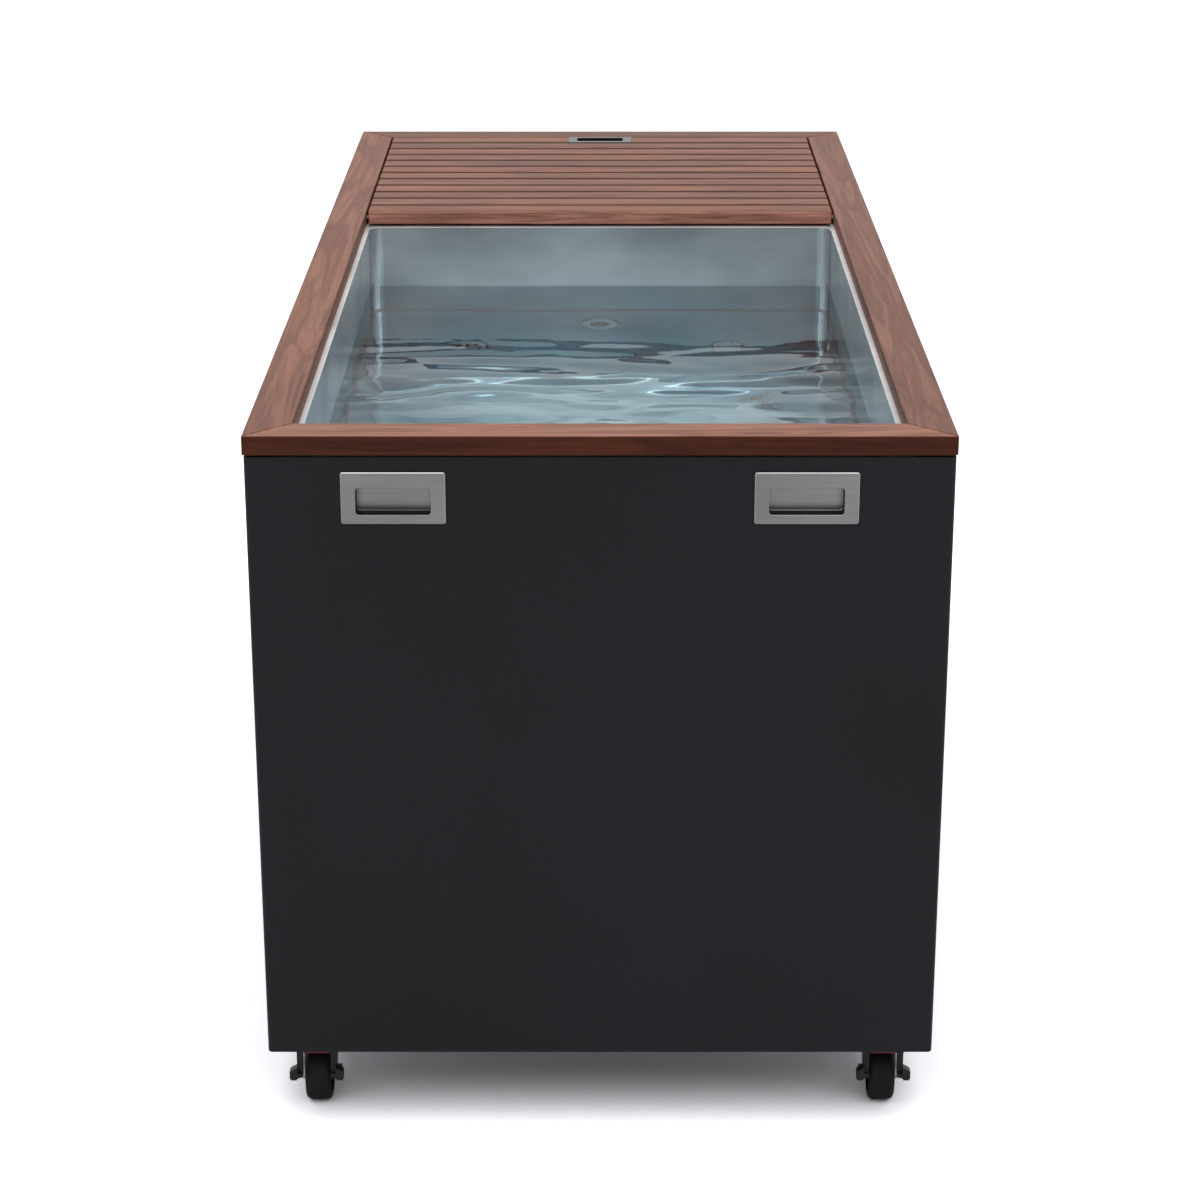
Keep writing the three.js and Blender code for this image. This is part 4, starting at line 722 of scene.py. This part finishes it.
for caster in casters:
    node = caster + "_wheel"
    low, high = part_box(node)
    centre = Vector(((low.x + high.x) / 2, (low.y + high.y) / 2, (low.z + high.z) / 2))
    wheel = modelWheel(centre, (high.z - low.z) / 2 - wheelPlan["offFloor"])
    wheel.name = node + "_turned"
    settle(wheel, finishes["wheel_rubber"], nodes[node]["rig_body"])
    hubEdge = wheelPlan["rim"] - wheelPlan["rimMargin"]
    paintFaces(wheel, finishes["hub_grey"], lambda face: fromAxle(face.center, centre) < hubEdge)
    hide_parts(node)
print("wheels turned")


# caster bolts: four to each plate
boltPlan = {"across": 0.026, "along": 0.036, "radius": 0.0068, "height": 0.0034, "washer": 0.0088,
            "washerHeight": 0.0009, "washerSides": 24, "sunk": 0.0001, "plate": 0.0041, "edge": 0.0003,
            "edgeAngle": 40.0}


def joinParts(parts, name):
    clearSelection()
    for part in parts:
        part.select_set(True)
    bpy.context.view_layer.objects.active = parts[0]
    bpy.ops.object.join()
    whole = bpy.context.object
    whole.name = name
    return whole


def modelBolt(place):
    # a washer and a hexagon head, hanging from the plate
    plan = boltPlan
    clearSelection()
    bpy.ops.mesh.primitive_cylinder_add(
        vertices=plan["washerSides"], radius=plan["washer"], depth=plan["washerHeight"],
        location=place - Vector((0, 0, plan["washerHeight"] / 2)))
    washer = bpy.context.object
    headTop = place.z - plan["washerHeight"] + plan["sunk"]
    bpy.ops.mesh.primitive_cylinder_add(
        vertices=6, radius=plan["radius"], depth=plan["height"],
        location=(place.x, place.y, headTop - plan["height"] / 2))
    head = bpy.context.object
    for part in (washer, head):
        makeActive(part)
        bpy.ops.object.transform_apply(location=True, rotation=True, scale=True)
        bevelEdges(part, plan["edge"], 2, plan["edgeAngle"])
    return [washer, head]


for caster in casters:
    low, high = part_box(caster + "_caster_plate")
    middle = Vector(((low.x + high.x) / 2, (low.y + high.y) / 2, high.z - boltPlan["plate"]))
    parts = []
    for stepX in (-1, 1):
        for stepY in (-1, 1):
            parts += modelBolt(middle + Vector((stepX * boltPlan["across"], stepY * boltPlan["along"], 0)))
    settle(joinParts(parts, caster + "_caster_bolts"), finishes["zinc_plate"], "tub")


# front brakes: a red pad under each pedal's bar, and a moulded foot at each end
padPlan = {"halfWidth": 0.0165, "depth": 0.0085, "height": 0.0024, "fromFront": 0.0012, "underBar": 0.0061,
           "barOverhang": 0.0015, "edge": 0.0006, "edgeAngle": 40.0}
feetPlan = {"inner": 0.0235, "outer": 0.0332, "depth": 0.0125, "rise": 0.0160, "slope": 0.0055,
            "toeInset": 0.0012, "toeDrop": 0.0022, "underTilt": -0.9, "edge": 0.0008, "edgeAngle": 30.0}


def addBlock(size, place):
    clearSelection()
    bpy.ops.mesh.primitive_cube_add(size=1.0, location=place)
    block = bpy.context.object
    block.scale = size
    bpy.ops.object.transform_apply(location=True, rotation=True, scale=True)
    return block


def modelPad(swivelX, barFront, barTop):
    plan = padPlan
    pad = addBlock((2 * plan["halfWidth"], plan["depth"], plan["height"]), (
        swivelX, barFront + plan["fromFront"] + plan["depth"] / 2,
        barTop - plan["underBar"] - plan["height"] / 2))
    bevelEdges(pad, plan["edge"], 3, plan["edgeAngle"])
    return pad


def modelFoot(swivelX, side, corner):
    # a moulded wedge that thickens one foot of the brake pedal, with a stepped toe under it
    plan = feetPlan
    reach = plan["outer"] - plan["inner"]
    foot = addBlock((reach, plan["depth"], plan["rise"]), (
        swivelX + side * (plan["inner"] + reach / 2), corner.y + plan["depth"] / 2,
        corner.z + plan["rise"] / 2))
    for vertex in foot.data.vertices:
        outward = side * (vertex.co.x - swivelX) > plan["inner"] + reach / 2
        if outward and vertex.co.z > corner.z + plan["rise"] / 2:
            vertex.co.z -= plan["slope"]
    bpy.ops.object.mode_set(mode="EDIT")
    bpy.ops.mesh.select_mode(type="FACE")
    mesh = bmesh.from_edit_mesh(foot.data)
    for face in mesh.faces:
        face.select_set(face.normal.z < plan["underTilt"])
    bmesh.update_edit_mesh(foot.data)
    bpy.ops.mesh.inset(thickness=plan["toeInset"])
    bpy.ops.mesh.extrude_region_move(TRANSFORM_OT_translate={"value": (0, 0, -plan["toeDrop"])})
    bpy.ops.object.mode_set(mode="OBJECT")
    bevelEdges(foot, plan["edge"], 3, plan["edgeAngle"])
    return foot


for caster in frontCasters:
    low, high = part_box(caster + "_brake_pedal")
    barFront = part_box(caster + "_wheel")[0].y - padPlan["barOverhang"]
    pad = modelPad((low.x + high.x) / 2, barFront, high.z)
    pad.name = caster + "_brake_pad"
    settle(pad, finishes["brake_red"], caster + "_brake")

for caster in frontCasters:
    low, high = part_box(caster + "_brake_pedal")
    feet = [modelFoot((low.x + high.x) / 2, side, low) for side in (-1, 1)]
    pair = joinParts(feet, caster + "_brake_feet")
    settle(pair, finishes["black_paint"], caster + "_brake")
print("caster bolts, brake pads and feet fitted")


# water: a closed body that reaches a little into the steel, with ripples that calm down towards the far wall
waterPlan = {
    "level": 0.771, "intoSteel": 0.0008, "columns": 150, "rows": 300, "halfWidth": 0.3475,
    "front": -0.856, "rear": 0.268, "corner": 0.020, "calmFrom": -0.05, "calmTo": -0.30, "calm": 0.03,
    # ripples: repeats per metre across and along, then height
    "waves": [(3.0, 6.5, 0.0020), (6.5, 19.0, 0.0050), (15.0, 34.0, 0.0009)], "waveShift": 1.7,
    # levels under the surface, and how far the outline is drawn in there
    "depths": [(0.6327, 0.0), (0.6227, 0.006), (0.2767, 0.006), (0.2682, 0.0095), (0.2647, 0.018)],
}


def rippleHeight(x, y):
    plan = waterPlan
    total = 0.0
    for count, (across, along, height) in enumerate(plan["waves"]):
        spot = Vector((x * across + count, y * along, plan["waveShift"] * count))
        total += height * noise.noise(spot)
    lively = (plan["calmFrom"] - y) / (plan["calmFrom"] - plan["calmTo"])
    return total * (plan["calm"] + (1 - plan["calm"]) * min(1.0, max(0.0, lively)))


def drawnIn(x, y, inset):
    # the point of the basin's rounded plan, drawn in by inset, that is nearest to x, y
    plan = waterPlan
    halfX, radius = plan["halfWidth"], plan["corner"]
    middle = (plan["front"] + plan["rear"]) / 2
    halfY = (plan["rear"] - plan["front"]) / 2
    cornerX = math.copysign(halfX - radius, x)
    cornerY = math.copysign(halfY - radius, y - middle)
    away = Vector((x - cornerX, y - middle - cornerY))
    if abs(x) > abs(cornerX) and abs(y - middle) > abs(cornerY):
        away = away.normalized() * min(away.length, radius - inset)
        return cornerX + away.x, middle + cornerY + away.y
    sideX = min(halfX - inset, max(inset - halfX, x))
    sideY = min(halfY - inset, max(inset - halfY, y - middle))
    return sideX, middle + sideY


def fillBasin():
    plan = waterPlan
    clearSelection()
    bpy.ops.mesh.primitive_grid_add(
        x_subdivisions=plan["columns"], y_subdivisions=plan["rows"], size=2.0,
        location=(0, (plan["front"] + plan["rear"]) / 2, plan["level"]))
    filled = bpy.context.object
    filled.scale = (plan["halfWidth"] + plan["intoSteel"],
                    (plan["rear"] - plan["front"]) / 2 + plan["intoSteel"], 1)
    bpy.ops.object.transform_apply(location=True, rotation=True, scale=True)
    for vertex in filled.data.vertices:
        x, y = drawnIn(vertex.co.x, vertex.co.y, -plan["intoSteel"])
        vertex.co = (x, y, vertex.co.z + rippleHeight(x, y))
    bpy.ops.object.mode_set(mode="EDIT")
    bpy.ops.mesh.select_mode(type="EDGE")
    bpy.ops.mesh.select_all(action="DESELECT")
    bpy.ops.mesh.select_non_manifold()
    for depth, inset in plan["depths"]:
        bpy.ops.mesh.extrude_region_move()
        mesh = bmesh.from_edit_mesh(filled.data)
        for vertex in mesh.verts:
            if vertex.select:
                x, y = drawnIn(vertex.co.x, vertex.co.y, inset - plan["intoSteel"])
                vertex.co = (x, y, depth - plan["intoSteel"])
        bmesh.update_edit_mesh(filled.data)
    bpy.ops.mesh.edge_face_add()
    bpy.ops.mesh.select_all(action="SELECT")
    bpy.ops.mesh.normals_make_consistent(inside=False)
    bpy.ops.object.mode_set(mode="OBJECT")
    bpy.ops.object.shade_smooth_by_angle(angle=math.radians(edges["smoothAngle"]))
    return filled


water = fillBasin()
water.name = "cold_water"
settle(water, finishes["water"], "tub")
print("basin filled")
